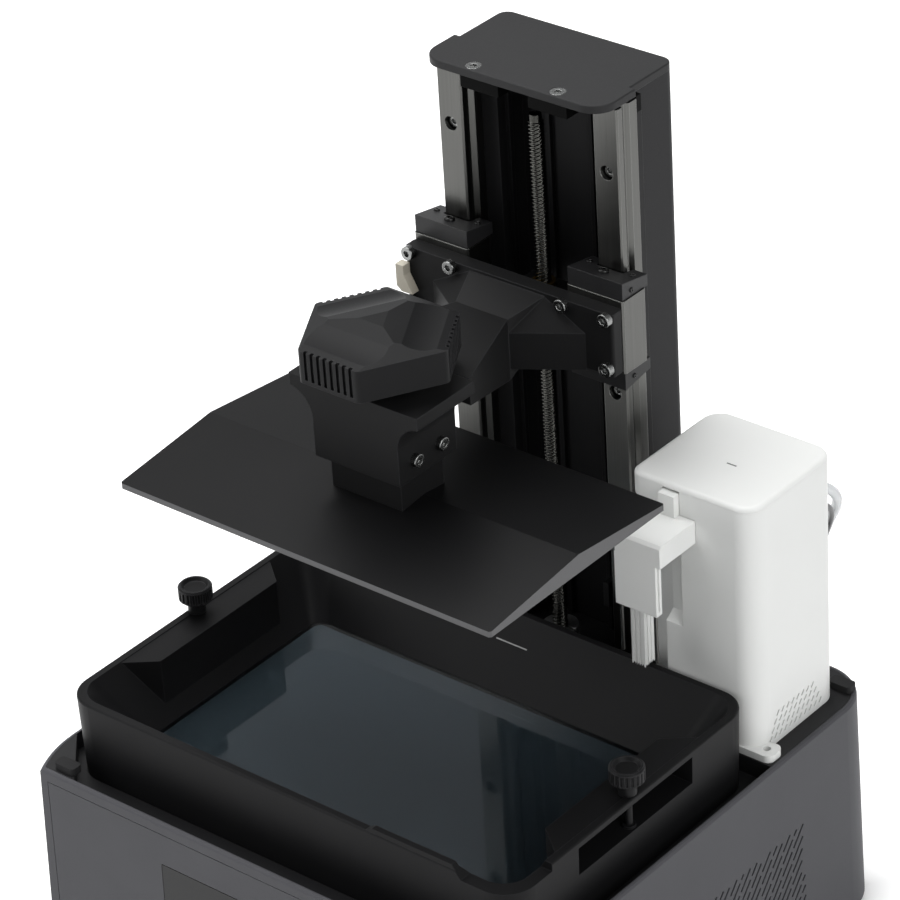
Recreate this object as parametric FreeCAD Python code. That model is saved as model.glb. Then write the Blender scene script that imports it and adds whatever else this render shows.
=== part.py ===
import FreeCAD, Part
import math
import os

# Desktop resin printer with a resin feeder, in millimetres.
# X is the width, Y runs from the front to the back and Z is up.
# The origin is on the table under the middle of the base.
Vector = FreeCAD.Vector

# Clearances
SLIDE_GAP = 0.3
RUNNING_FIT = 0.05
SEAM = 0.4

# Base housing
BASE_WIDTH = 307.0
BASE_DEPTH = 297.0
BASE_HEIGHT = 128.0
BASE_FLARE = 3.5
BASE_CORNER = 28.0
FRONT_BEND = 64.0
FRONT_BEND_RUN = 31.0
BASE_WALL = 2.5
RIM_ROUND = 1.6
FOOT_HEIGHT = 5.0
FOOT_RADIUS = 12.0
FOOT_INSET = 34.0
FLOOR_SHEET = 2.0
DECK_DROP = 10.0
DECK_SHEET = 4.0
CORNER_LEG = 36.0
SHELF_LEAD = 1.5
PAD_LENGTH = 13.0
PAD_WIDTH = 7.0
PAD_HEIGHT = 4.0
PAD_FRONT_X = 133.0
PAD_FRONT_SETBACK = 7.5
PAD_REAR_X = 141.0
PAD_REAR_SETBACK = 14.0

# Front panel and touch screen
PANEL_WIDTH = 282.0
PANEL_TOP_DROP = 6.0
PANEL_BOTTOM = 12.0
SCREEN_WIDTH = 131.0
SCREEN_HEIGHT = 74.0
SCREEN_TOP_DROP = 24.5
SCREEN_DEPTH = 7.0

# Side vent: long slanted slots with staggered bridges
VENT_REAR_SETBACK = 68.5
VENT_LENGTH = 92.0
VENT_TOP_DROP = 45.6
VENT_HEIGHT = 64.0
VENT_PITCH = 5.6
SLOT_LENGTH = 13.0
SLOT_BRIDGE = 2.0
SLOT_WIDTH = 1.5
SLOT_LEAN = 42.0

# Build plate and its holder, heights counted from the plate's underside
PLATE_SETBACK = 112.0
PLATE_REST_RISE = 151.0
PLATE_LENGTH = 228.0
PLATE_WIDTH = 131.3
PLATE_EDGE = 3.1
PLATE_RIDGE = 10.0
STUB_LENGTH = 43.0
STUB_WIDTH = 31.0
STUB_TOP = 39.5
BRACKET_HALF = 26.0
BRACKET_DEPTH = 42.0
BRACKET_BOTTOM = 26.0
FLANGE_HALF = 39.0
HEAD_TOP = 67.4
COVE_RADIUS = 15.0
FLANGE_UNDER = 61.0
TONGUE_HALF = 17.0
TONGUE_BOTTOM = 44.0
TONGUE_TOP = 60.0
TONGUE_LENGTH = 35.0
LEVEL_SCREW_Z = 35.5
LEVEL_SCREW_Y = 9.2
LEVEL_HEAD_RADIUS = 3.5
LEVEL_SHANK_RADIUS = 2.0

# Clamp knob: a hexagon of three ribbed and three plain sides
KNOB_RADIUS = 40.3
KNOB_BOTTOM = 76.0
KNOB_WALL = 17.0
KNOB_RIB_ANGLE = 53.0
KNOB_CROWN = 10.0
KNOB_BEVEL = 22.0
KNOB_TOP = 98.6
KNOB_EDGE = 3.0
KNOB_RIBS = 8
RIB_PITCH = 3.9
RIB_WIDTH = 2.0
RIB_DEPTH = 1.6
SCOOP_RADIUS = 45.0
SCOOP_REACH = 23.0
SCOOP_DEPTH = 0.75
COLLAR_RADIUS = 12.0
STUD_RADIUS = 4.0

# Tower, rails and carriages
TOWER_HEIGHT = 327.8
CAP_SHEET = 4.0
CAP_FRONT = 104.0
CAP_HALF = 54.5
CAP_CORNER = 12.0
CAP_SCREW_X = 25.4
CAP_SCREW_Y = 109.5
RAIL_SEAT = 131.0
RAIL_WIDTH = 15.0
RAIL_HEIGHT = 15.0
RAIL_SPACING = 94.5
RAIL_PITCH = 60.0
RAIL_FIRST = 48.0
RAIL_GROOVE = 2.2
COLUMN_HALF = 54.5
COLUMN_FLANGE = 4.0
CHANNEL_HALF = 30.0
CHANNEL_DEPTH = 19.0
COVER_HALF = 51.3
COVER_BACK = 166.0
COVER_SHEET = 1.5
COVER_CORNER = 6.0
CARRIAGE_HEIGHT = 28.0
CARRIAGE_WIDTH = 34.0
CARRIAGE_DEPTH = 21.0
CARRIAGE_BODY = 39.4
CARRIAGE_CAP = 9.5
CAP_FALL = 3.4
CARRIAGE_CENTRE = 58.7
CAP_STEP = 0.7
BOLT_PITCH_X = 26.0
BOLT_PITCH_Z = 27.0
BOLT_SHANK = 2.0
BOLT_HEAD_RADIUS = 3.6
BOLT_HEAD = 3.4

# Arm: a bolted cross plate, two gussets and a tapering beam
ARM_PLATE = 8.0
ARM_PLATE_HALF = 63.6
ARM_PLATE_BOTTOM = 41.0
ARM_PLATE_TOP = 74.8
BEAM_ROOT = 75.0
BEAM_ROOT_HALF = 16.0
BEAM_ROOT_BOTTOM = 34.0
BEAM_NOSE_HALF = 36.0
BEAM_NOSE_BOTTOM = 53.0
GUSSET_REACH = 47.0
GUSSET_TOP = 60.0
GUSSET_BOTTOM = 40.0
GUSSET_CREST = 23.5

# Lead screw drive
SCREW_RADIUS = 4.0
SCREW_Y = 122.9
SCREW_TOP = 303.7
NUT_RADIUS = 6.0
NUT_FLANGE_RADIUS = 11.0
NUT_FLANGE = 4.0
NUT_BLOCK_HALF = 15.0
NUT_BLOCK_BOTTOM = 46.0
NUT_BLOCK_TOP = 58.0
COUPLER_RADIUS = 9.5
COUPLER_LENGTH = 25.0
MOTOR_SIDE = 42.3
MOTOR_LENGTH = 40.0
MOTOR_SHAFT_RADIUS = 2.5
SENSOR_END = 66.4
FLAG_X = 23.5
FLAG_SHEET = 1.0
FLAG_DROP = 22.0
SENSOR_RISE = 23.0

# Vat and its film
VAT_LENGTH = 284.0
VAT_WIDTH = 188.6
VAT_RIM_RISE = 35.8
VAT_CORNER = 17.0
VAT_DRAFT = 1.0
VAT_LIP = 4.0
GUARD_START = 55.0
GUARD_RISE = 2.2
FILM_LENGTH = 234.0
FILM_WIDTH = 134.0
FILM_RISE = 0.5
FILM_SHEET = 0.4
FRAME_BORDER = 13.0
LEDGE_INNER = 122.0
LEDGE_HALF = 44.0
LEDGE_END = 52.0
LEDGE_DROP = 0.6
WINDOW_HALF = 44.5
WINDOW_TOP_DROP = 3.6
WINDOW_HEIGHT = 15.5
WINDOW_WALL = 4.0
SPOUT_DROP = 4.5
SPOUT_LENGTH = 35.0
SPOUT_WIDTH = 30.0
THUMB_X = 137.0
THUMB_RADIUS = 8.8
THUMB_HEIGHT = 8.4
THUMB_RISE = 7.2
THUMB_NECK = 4.6
THUMB_SHANK = 2.0
THUMB_RIBS = 20

# Screen glass and light engine inside the base
GLASS_LENGTH = 230.0
GLASS_WIDTH = 130.0
GLASS_SHEET = 3.0
GLASS_TOP_RISE = 0.2
LIGHT_BOX_BOTTOM = 58.0
LIGHT_BOX_HALF_X = 62.0
LIGHT_BOX_HALF_Y = 48.0
LIGHT_BOX_WALL = 2.0
LENS_SHEET = 2.5
LED_BOARD = 2.0
LED_COLUMNS = 7
LED_ROWS = 5
LED_HALF = 3.0
SINK_HEIGHT = 26.0
SINK_FINS = 13
FAN_SIDE = 60.0
FAN_DEPTH = 15.0
FAN_X = 8.0
FAN_Z = 52.0
FAN_BLADES = 7
BOARD_LENGTH = 120.0
BOARD_WIDTH = 58.0
INLET_X = -112.0
SWITCH_X = -76.0
REAR_PORT_Z = 38.0
INLET_WIDTH = 28.0
INLET_HEIGHT = 21.0
SWITCH_WIDTH = 22.0
SWITCH_HEIGHT = 15.0

# Resin feeder beside the tower
FEEDER_LEFT = 69.0
FEEDER_RIGHT = 141.5
FEEDER_FRONT = 97.0
FEEDER_BACK = 167.0
FEEDER_HEIGHT = 142.0
FEEDER_CORNER = 11.0
FEEDER_FRONT_CORNER = 6.0
FEEDER_WALL = 2.5
FEEDER_LID = 3.0
FEEDER_TOP_ROUND = 2.4
OVERHANG = 13.0
NOTCH_WIDTH = 19.5
NOTCH_DEPTH = 16.0
GUIDE_WIDTH = 10.1
GUIDE_FALL = 81.0
GUIDE_DEPTH = 6.0
EAR_HOLE_X = 143.8
EAR_HOLE_Y = 102.3
EAR_HALF = 6.0
EAR_SHEET = 4.0
EAR_HOLE_RADIUS = 2.0
HEAD_LEFT = 80.5
HEAD_RIGHT = 108.0
HEAD_FRONT = 68.0
HEAD_FACE = 4.6
HEAD_TOP_DROP = 16.0
HEAD_BAR = 12.3
HEAD_HEIGHT = 41.0
SPOUT_TUBE_X = 89.3
SPOUT_TUBE_SIDE = 8.0
SPOUT_TUBE_LENGTH = 36.0
PROBE_X = 82.2
PROBE_GAP = 20.6
PROBE_RADIUS = 0.9
PROBE_LENGTH = 28.0

# Hose and signal lead behind the feeder
HOSE_RADIUS = 2.75
STRAINER_RADIUS = 4.9
STRAINER_LENGTH = 18.0
LEAD_RADIUS = 1.4
PORT_X = 115.0
HOSE_DROP = 39.0
LEAD_DROP = 46.5
PORT_REACH = 8.0
SOCKET_X = 74.0
SOCKET_DROP = 56.0
SOCKET_RADIUS = 6.0
PLUG_RADIUS = 3.6
PLUG_LENGTH = 16.0

# Levels and depths that follow from the sizes above
RIM_Z = BASE_HEIGHT
DECK_Z = RIM_Z - DECK_DROP
FLOOR_Z = FOOT_HEIGHT + FLOOR_SHEET
PLATE_Y = -BASE_DEPTH / 2 + PLATE_SETBACK
PLATE_Z = RIM_Z + PLATE_REST_RISE
TOWER_TOP = RIM_Z + TOWER_HEIGHT
CAP_Z = TOWER_TOP - CAP_SHEET
SEAT_Y = PLATE_Y + RAIL_SEAT
COVER_Y = PLATE_Y + COVER_BACK
BLOCK_Y = SEAT_Y - CARRIAGE_HEIGHT
RAIL_X = RAIL_SPACING / 2
CARRIAGE_Z = PLATE_Z + CARRIAGE_CENTRE
AXIS_Y = PLATE_Y + SCREW_Y
VAT_RIM_Z = RIM_Z + VAT_RIM_RISE
FILM_Z = RIM_Z + FILM_RISE
FEEDER_TOP = RIM_Z + FEEDER_HEIGHT


def box(x0, x1, y0, y1, z0, z1):
    """Block between two corners."""
    return Part.makeBox(x1 - x0, y1 - y0, z1 - z0, Vector(x0, y0, z0))


def rod(x, y, z, radius, length, axis=Vector(0, 0, 1)):
    """Round bar that starts at a point and runs along an axis."""
    return Part.makeCylinder(radius, length, Vector(x, y, z), axis)


def rounded_outline(centre_x, centre_y, half_x, half_y, radius, z, front_left=None):
    """Closed wire of a rectangle with round corners."""
    x0, x1 = centre_x - half_x, centre_x + half_x
    y0, y1 = centre_y - half_y, centre_y + half_y
    slack = 1 - math.sqrt(0.5)
    other = radius if front_left is None else front_left
    bow, far = radius * slack, other * slack
    corners = [
        (Vector(x1 - radius, y0, z), Vector(x1 - bow, y0 + bow, z), Vector(x1, y0 + radius, z)),
        (Vector(x1, y1 - radius, z), Vector(x1 - bow, y1 - bow, z), Vector(x1 - radius, y1, z)),
        (Vector(x0 + radius, y1, z), Vector(x0 + bow, y1 - bow, z), Vector(x0, y1 - radius, z)),
        (Vector(x0, y0 + other, z), Vector(x0 + far, y0 + far, z), Vector(x0 + other, y0, z)),
    ]
    edges = []
    for index, corner in enumerate(corners):
        edges.append(Part.Arc(*corner).toShape())
        edges.append(Part.LineSegment(corner[2], corners[(index + 1) % 4][0]).toShape())
    return Part.Wire(edges)


def rounded_slab(centre_x, centre_y, half_x, half_y, radius, z0, z1):
    """Upright slab with round corners."""
    outline = rounded_outline(centre_x, centre_y, half_x, half_y, radius, z0)
    return Part.Face(outline).extrude(Vector(0, 0, z1 - z0))


def loft(*outlines):
    """Solid with straight walls through a stack of outlines."""
    return Part.makeLoft(list(outlines), True, True)


def prism(points, direction):
    """Polygon swept along a straight line."""
    return Part.Face(Part.makePolygon(points + [points[0]])).extrude(direction)


def plan_prism(points, z0, z1):
    """Plan outline, as (x, y) pairs, raised from z0 to z1."""
    return prism([Vector(x, y, z0) for x, y in points], Vector(0, 0, z1 - z0))


def side_prism(points, x0, x1):
    """Side outline, as (y, z) pairs, swept from x0 to x1."""
    return prism([Vector(x0, y, z) for y, z in points], Vector(x1 - x0, 0, 0))


def front_prism(points, y0, y1):
    """Front outline, as (x, z) pairs, swept from y0 to y1."""
    return prism([Vector(x, y0, z) for x, z in points], Vector(0, y1 - y0, 0))


def mirrored(shape):
    """Copy on the other side of the middle plane."""
    return shape.mirror(Vector(0, 0, 0), Vector(1, 0, 0))


def group(solids):
    """Separate solids kept together in one node."""
    return Part.makeCompound(solids)


def socket_screw(head_radius, head_height, shank_radius, shank_length):
    """Socket head screw with its head on top and its seat at the origin."""
    head = rod(0, 0, 0, head_radius, head_height)
    head = head.makeFillet(0.5, [head.Edges[0]])
    shank = rod(0, 0, -shank_length, shank_radius, shank_length)
    key = head_radius * 0.5
    hexagon = [
        (key * math.cos(math.radians(60 * k)), key * math.sin(math.radians(60 * k))) for k in range(6)
    ]
    return head.fuse(shank).cut(plan_prism(hexagon, head_height * 0.4, head_height + 1)).removeSplitter()


def placed(shape, x, y, z, axis=Vector(0, 0, 1), angle=0):
    """Copy turned about the origin and then moved."""
    copy = shape.copy()
    copy.Placement = FreeCAD.Placement(Vector(x, y, z), FreeCAD.Rotation(axis, angle))
    return copy


def base_flare(z):
    """How far the tapering base walls stand out at a height."""
    return BASE_FLARE * (RIM_Z - z) / (RIM_Z - FOOT_HEIGHT)


def base_outline(inset, z):
    """Plan outline of the base: round back corners, and sides that bend in to a sharp-edged flat front."""
    grow = base_flare(z) - inset
    x1, y0, y1 = BASE_WIDTH / 2 + grow, -BASE_DEPTH / 2 - grow, BASE_DEPTH / 2 + grow
    bend, back = FRONT_BEND + grow, BASE_CORNER + grow
    bend_y = -BASE_DEPTH / 2 + FRONT_BEND_RUN
    turn = math.asin((bend_y - y0) / bend)

    def bend_point(angle):
        return x1 - bend * (1 - math.cos(angle)), bend_y - bend * math.sin(angle)

    bow = back * (1 - math.sqrt(0.5))
    right = [bend_point(turn), bend_point(turn / 2), (x1, bend_y)]
    rear = [(x1, y1 - back), (x1 - bow, y1 - bow), (x1 - back, y1)]
    left_rear = [(-x, y) for x, y in reversed(rear)]
    left = [(-x, y) for x, y in reversed(right)]
    edges = []
    arcs = [right, rear, left_rear, left]
    for index, arc in enumerate(arcs):
        first, middle, last = [Vector(x, y, z) for x, y in arc]
        follow = Vector(arcs[(index + 1) % 4][0][0], arcs[(index + 1) % 4][0][1], z)
        edges.append(Part.Arc(first, middle, last).toShape())
        edges.append(Part.LineSegment(last, follow).toShape())
    return Part.Wire(edges)


def base_walls():
    """Tapering walls with a softly rounded rim."""
    softened = RIM_ROUND * 0.45
    outer = loft(
        base_outline(0, FOOT_HEIGHT),
        base_outline(0, RIM_Z - RIM_ROUND),
        base_outline(softened, RIM_Z - RIM_ROUND * 0.3),
        base_outline(RIM_ROUND, RIM_Z),
    )
    hollow = loft(base_outline(BASE_WALL, FOOT_HEIGHT), base_outline(BASE_WALL, RIM_Z))
    return outer.cut(hollow)


def panel_zone(gap):
    """Block that parts the front panel from the walls."""
    half = PANEL_WIDTH / 2 - gap
    front = -BASE_DEPTH / 2
    z0, z1 = PANEL_BOTTOM + gap, RIM_Z - PANEL_TOP_DROP - gap
    return box(-half, half, front - BASE_FLARE - 1, front + BASE_CORNER / 2, z0, z1)


def screen_zone(gap, y0, y1):
    """Upright rectangle of the touch screen."""
    half = SCREEN_WIDTH / 2 - gap
    top = RIM_Z - SCREEN_TOP_DROP
    return box(-half, half, y0, y1, top - SCREEN_HEIGHT + gap, top - gap)


def rear_wall(z):
    """Outer face of the back wall at a height."""
    return BASE_DEPTH / 2 + base_flare(z)


def rear_cutout(x, z, width, height):
    """Opening through the back wall."""
    y0 = BASE_DEPTH / 2 - 2 * BASE_WALL
    return box(x - width / 2, x + width / 2, y0, y0 + 20, z - height / 2, z + height / 2)


def vent_slots():
    """Slanted slots through the right wall: parallel lines in a rectangle, broken by bridges."""
    lean = math.radians(SLOT_LEAN)
    step_y, step_z = -math.sin(lean), -math.cos(lean)
    rear = BASE_DEPTH / 2 - VENT_REAR_SETBACK
    front, top = rear - VENT_LENGTH, RIM_Z - VENT_TOP_DROP
    period = SLOT_LENGTH + SLOT_BRIDGE
    full = VENT_HEIGHT / math.cos(lean)
    extra = int(VENT_HEIGHT * math.tan(lean) / VENT_PITCH)
    x0 = BASE_WIDTH / 2 - 2 * BASE_WALL
    slots = []
    for line in range(-extra, int(VENT_LENGTH / VENT_PITCH) + 1):
        line_y = rear - VENT_PITCH * line
        enter = max(0, (line_y - rear) / math.sin(lean))
        leave = min(full, (line_y - front) / math.sin(lean))
        phase = period * ((line * 0.37) % 1) - period
        while phase < leave:
            start, end = max(phase, enter), min(phase + SLOT_LENGTH, leave)
            if end - start > 2.5:
                middle, reach = (start + end) / 2, (end - start) / 2
                slot = box(x0, x0 + 8 * BASE_WALL, -SLOT_WIDTH / 2, SLOT_WIDTH / 2, -reach, reach)
                y, z = line_y + step_y * middle, top + step_z * middle
                slots.append(placed(slot, 0, y, z, Vector(1, 0, 0), -SLOT_LEAN))
            phase += period
    return slots


def fan_grille():
    """Concentric slots in the back wall in front of the fan."""
    y0 = BASE_DEPTH / 2 - 2 * BASE_WALL
    back = Vector(0, 1, 0)
    rings = []
    for outer in (27.0, 20.0, 13.0):
        ring = rod(FAN_X, y0, FAN_Z, outer, 20, back).cut(rod(FAN_X, y0, FAN_Z, outer - 4.5, 20, back))
        rings.append(ring)
    grille = rings[0].multiFuse(rings[1:])
    reach = FAN_SIDE / 2
    upright = box(FAN_X - 1.5, FAN_X + 1.5, y0, y0 + 20, FAN_Z - reach, FAN_Z + reach)
    level = box(FAN_X - reach, FAN_X + reach, y0, y0 + 20, FAN_Z - 1.5, FAN_Z + 1.5)
    return grille.cut(upright).cut(level)


def socket_level():
    """Height of the feeder's socket in the back wall."""
    return RIM_Z - SOCKET_DROP


def base_shell():
    """Moulded walls with openings for the panel, the vents and the rear ports."""
    openings = [
        panel_zone(0),
        rear_cutout(INLET_X, REAR_PORT_Z, INLET_WIDTH, INLET_HEIGHT),
        rear_cutout(SWITCH_X, REAR_PORT_Z, SWITCH_WIDTH, SWITCH_HEIGHT),
        rod(SOCKET_X, BASE_DEPTH / 2 - 8, socket_level(), SOCKET_RADIUS, 20, Vector(0, 1, 0)),
        fan_grille(),
    ]
    return base_walls().cut(openings + vent_slots())


def front_panel():
    """Front wall that lifts off, with the window of the touch screen."""
    front = -BASE_DEPTH / 2
    window = screen_zone(-SEAM, front - 10, front + 10)
    return base_walls().common(panel_zone(SEAM)).cut(window)


def touch_screen():
    """Glass that follows the sloping front wall, on a shallow module."""
    front = -BASE_DEPTH / 2
    glass = base_walls().common(screen_zone(0, front - 10, front + 10))
    back_face = front + BASE_WALL
    module = screen_zone(4, back_face - 1, back_face + SCREEN_DEPTH)
    return glass.fuse(module).removeSplitter()


def top_deck():
    """Deck that sits inside the rim: a low floor, four raised corners and a raised back."""
    inset = BASE_WALL + SEAM / 2
    sheet = loft(base_outline(inset, DECK_Z - DECK_SHEET), base_outline(inset, RIM_Z))
    half_x, front = BASE_WIDTH / 2, -BASE_DEPTH / 2
    shelf_y = PLATE_Y + FEEDER_FRONT - SHELF_LEAD
    leg = CORNER_LEG
    well = plan_prism(
        [
            (-half_x + leg, front - 5),
            (half_x - leg, front - 5),
            (half_x + 5, front + leg + 5),
            (half_x + 5, shelf_y),
            (-half_x - 5, shelf_y),
            (-half_x - 5, front + leg + 5),
        ],
        DECK_Z,
        RIM_Z + 1,
    )
    well_rim = sheet.cut(well)
    glass_well = lcd_slab(SEAM, DECK_Z - DECK_SHEET - 1, RIM_Z + 1)
    screw_hole = rod(0, AXIS_Y, DECK_Z - DECK_SHEET - 1, COUPLER_RADIUS + 3, 30)
    holes = [glass_well, screw_hole]
    for x in (-THUMB_X, THUMB_X):
        holes.append(rod(x, PLATE_Y, DECK_Z - DECK_SHEET - 1, THUMB_SHANK + RUNNING_FIT, 30))
    return well_rim.cut(holes)


def lid_pads():
    """Four rubber pads near the corners of the deck."""
    pads = []
    front, back = -BASE_DEPTH / 2 + PAD_FRONT_SETBACK, BASE_DEPTH / 2 - PAD_REAR_SETBACK
    for side in (-1, 1):
        for x, y in ((PAD_FRONT_X, front), (PAD_REAR_X, back)):
            half_x, half_y = PAD_LENGTH / 2, PAD_WIDTH / 2
            pads.append(rounded_slab(side * x, y, half_x, half_y, 2.0, RIM_Z, RIM_Z + PAD_HEIGHT))
    return group(pads)


def bottom_plate():
    """Steel floor with rows of air slots."""
    inset = BASE_WALL + SEAM
    sheet = loft(base_outline(inset, FOOT_HEIGHT), base_outline(inset, FLOOR_Z))
    slots = []
    for k in range(9):
        x = (k - 4) * 12.0
        slots.append(rounded_slab(x, PLATE_Y, 2.0, 40, 1.9, FOOT_HEIGHT - 1, FLOOR_Z + 1))
    return sheet.cut(slots)


def rubber_feet():
    """Four round feet, tapering to the table."""
    feet = []
    for x in (-1, 1):
        for y in (-1, 1):
            foot = Part.makeCone(FOOT_RADIUS - 1.5, FOOT_RADIUS, FOOT_HEIGHT)
            place_x, place_y = x * (BASE_WIDTH / 2 - FOOT_INSET), y * (BASE_DEPTH / 2 - FOOT_INSET)
            feet.append(placed(foot, place_x, place_y, 0))
    return group(feet)


def lcd_slab(grow, z0, z1):
    """Upright slab in the plan shape of the screen glass."""
    return rounded_slab(0, PLATE_Y, GLASS_LENGTH / 2 + grow, GLASS_WIDTH / 2 + grow, 4 + grow, z0, z1)


def lcd_panel():
    """Mono screen under its cover glass."""
    top = RIM_Z + GLASS_TOP_RISE
    return lcd_slab(0, top - GLASS_SHEET, top)


def lcd_frame():
    """Raised aluminium seat of the screen, open over the lamp."""
    top = RIM_Z + GLASS_TOP_RISE - GLASS_SHEET
    outer = lcd_slab(0, DECK_Z - DECK_SHEET, top)
    half_x, half_y = GLASS_LENGTH / 2 - 6, GLASS_WIDTH / 2 - 6
    opening = rounded_slab(0, PLATE_Y, half_x, half_y, 3, DECK_Z - DECK_SHEET - 1, top + 1)
    return outer.cut(opening)


def light_box():
    """Tapering reflector between the lamp board and the screen."""
    top = DECK_Z - DECK_SHEET - LENS_SHEET
    wall = LIGHT_BOX_WALL
    upper = (GLASS_LENGTH / 2 - 4, GLASS_WIDTH / 2 - 4)
    outer = loft(
        rounded_outline(0, PLATE_Y, LIGHT_BOX_HALF_X, LIGHT_BOX_HALF_Y, 4, LIGHT_BOX_BOTTOM),
        rounded_outline(0, PLATE_Y, upper[0], upper[1], 4, top),
    )
    inner = loft(
        rounded_outline(0, PLATE_Y, LIGHT_BOX_HALF_X - wall, LIGHT_BOX_HALF_Y - wall, 2, LIGHT_BOX_BOTTOM),
        rounded_outline(0, PLATE_Y, upper[0] - wall, upper[1] - wall, 2, top),
    )
    return outer.cut(inner)


def fresnel_lens():
    """Collimating lens sheet on top of the reflector."""
    z1 = DECK_Z - DECK_SHEET
    return rounded_slab(0, PLATE_Y, GLASS_LENGTH / 2 - 4, GLASS_WIDTH / 2 - 4, 3, z1 - LENS_SHEET, z1)


def led_array():
    """Lamp board with a grid of square lamps."""
    z1 = LIGHT_BOX_BOTTOM
    parts = [rounded_slab(0, PLATE_Y, LIGHT_BOX_HALF_X, LIGHT_BOX_HALF_Y, 4, z1 - LED_BOARD, z1)]
    span_x, span_y = 2 * LIGHT_BOX_HALF_X - 24, 2 * LIGHT_BOX_HALF_Y - 24
    for column in range(LED_COLUMNS):
        for row in range(LED_ROWS):
            x = -span_x / 2 + span_x * column / (LED_COLUMNS - 1)
            y = PLATE_Y - span_y / 2 + span_y * row / (LED_ROWS - 1)
            parts.append(box(x - LED_HALF, x + LED_HALF, y - LED_HALF, y + LED_HALF, z1, z1 + 1.5))
    return parts[0].multiFuse(parts[1:])


def led_heatsink():
    """Finned block under the lamp board."""
    z1 = LIGHT_BOX_BOTTOM - LED_BOARD
    y0, y1 = PLATE_Y - LIGHT_BOX_HALF_Y, PLATE_Y + LIGHT_BOX_HALF_Y
    parts = [box(-LIGHT_BOX_HALF_X, LIGHT_BOX_HALF_X, y0, y1, z1 - 6, z1)]
    step = (2 * LIGHT_BOX_HALF_X - 2) / (SINK_FINS - 1)
    for fin in range(SINK_FINS):
        x = -LIGHT_BOX_HALF_X + step * fin
        parts.append(box(x, x + 2, y0, y1, z1 - SINK_HEIGHT, z1 - 6))
    return parts[0].multiFuse(parts[1:]).removeSplitter()


def fan_face():
    """Inner face of the back wall at the top of the fan, where the fan is screwed on."""
    return rear_wall(FAN_Z + FAN_SIDE / 2) - BASE_WALL


def fan_frame():
    """Square fan housing with a hub carried on four spokes."""
    back = Vector(0, 1, 0)
    y1 = fan_face()
    y0 = y1 - FAN_DEPTH
    half = FAN_SIDE / 2
    frame = box(FAN_X - half, FAN_X + half, y0, y1, FAN_Z - half, FAN_Z + half)
    frame = frame.makeFillet(4, [e for e in frame.Edges if abs(e.tangentAt(e.FirstParameter).y) > 0.9])
    frame = frame.cut(rod(FAN_X, y0, FAN_Z, half - 1.5, FAN_DEPTH, back))
    hub = rod(FAN_X, y0, FAN_Z, 10, 2.5, back)
    pin = rod(FAN_X, y0, FAN_Z, 1.5, FAN_DEPTH - 3, back)
    spoke = box(FAN_X - half + 1, FAN_X + half - 1, y0, y0 + 2.5, FAN_Z - 1.2, FAN_Z + 1.2)
    upright = box(FAN_X - 1.2, FAN_X + 1.2, y0, y0 + 2.5, FAN_Z - half + 1, FAN_Z + half - 1)
    return frame.multiFuse([hub, pin, spoke, upright]).removeSplitter()


def fan_rotor():
    """Hub with leaning blades that turns on the fan's pin."""
    back = Vector(0, 1, 0)
    y0 = fan_face() - FAN_DEPTH + 2.5 + SLIDE_GAP
    depth = FAN_DEPTH - 2.5 - 3 * SLIDE_GAP
    hub = rod(FAN_X, y0, FAN_Z, 10, depth, back)
    blade = box(-0.7, 0.7, 0, depth - 1.5, 9, FAN_SIDE / 2 - 1.5 - 2 * SLIDE_GAP)
    blades = []
    for k in range(FAN_BLADES):
        leaning = placed(blade, 0, 0, 0, Vector(0, 0, 1), 0)
        leaning.rotate(Vector(0, depth / 2, 0), Vector(0, 0, 1), 34)
        leaning.rotate(Vector(0, 0, 0), back, 360.0 * k / FAN_BLADES)
        leaning.translate(Vector(FAN_X, y0, FAN_Z))
        blades.append(leaning)
    reach = rod(FAN_X, y0, FAN_Z, FAN_SIDE / 2 - 1.5 - SLIDE_GAP, depth, back)
    rotor = hub.multiFuse(blades).common(reach)
    return rotor.cut(rod(FAN_X, y0, FAN_Z, 1.5 + RUNNING_FIT, depth + 1, back)).removeSplitter()


def main_board():
    """Control board on four stand-offs beside the lamp."""
    x1 = -LIGHT_BOX_HALF_X - 8
    x0 = x1 - BOARD_WIDTH
    y0, y1 = PLATE_Y - BOARD_LENGTH / 2, PLATE_Y + BOARD_LENGTH / 2
    z0 = FLOOR_Z + 6
    parts = [box(x0, x1, y0, y1, z0, z0 + 1.6)]
    for x in (x0 + 4, x1 - 4):
        for y in (y0 + 4, y1 - 4):
            parts.append(rod(x, y, FLOOR_Z, 3, 6))
    middle_x, middle_y = (x0 + x1) / 2, (y0 + y1) / 2
    parts.append(box(middle_x - 9, middle_x + 9, middle_y - 9, middle_y + 9, z0 + 1.6, z0 + 6))
    for k in range(4):
        parts.append(box(x0 + 2, x0 + 9, y0 + 18 + 24 * k, y0 + 32 + 24 * k, z0 + 1.6, z0 + 9))
    return parts[0].multiFuse(parts[1:]).removeSplitter()


def power_inlet():
    """Mains inlet in the back wall: a flanged shell round three pins."""
    y1 = rear_wall(REAR_PORT_Z + INLET_HEIGHT / 2)
    half_x, half_z = INLET_WIDTH / 2 - SLIDE_GAP, INLET_HEIGHT / 2 - SLIDE_GAP
    x, z = INLET_X, REAR_PORT_Z
    body = box(x - half_x, x + half_x, y1 - 22, y1, z - half_z, z + half_z)
    mouth = front_prism(
        [
            (x - half_x + 2, z - half_z + 2),
            (x + half_x - 2, z - half_z + 2),
            (x + half_x - 2, z + half_z - 7),
            (x + half_x - 7, z + half_z - 2),
            (x - half_x + 7, z + half_z - 2),
            (x - half_x + 2, z + half_z - 7),
        ],
        y1 - 16,
        y1 + 1,
    )
    pins = []
    for dx, dz in ((-7, -2), (0, 2), (7, -2)):
        pins.append(box(x + dx - 1, x + dx + 1, y1 - 17, y1 - 3, z + dz - 2, z + dz + 2))
    return body.cut(mouth).multiFuse(pins).removeSplitter()


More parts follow.
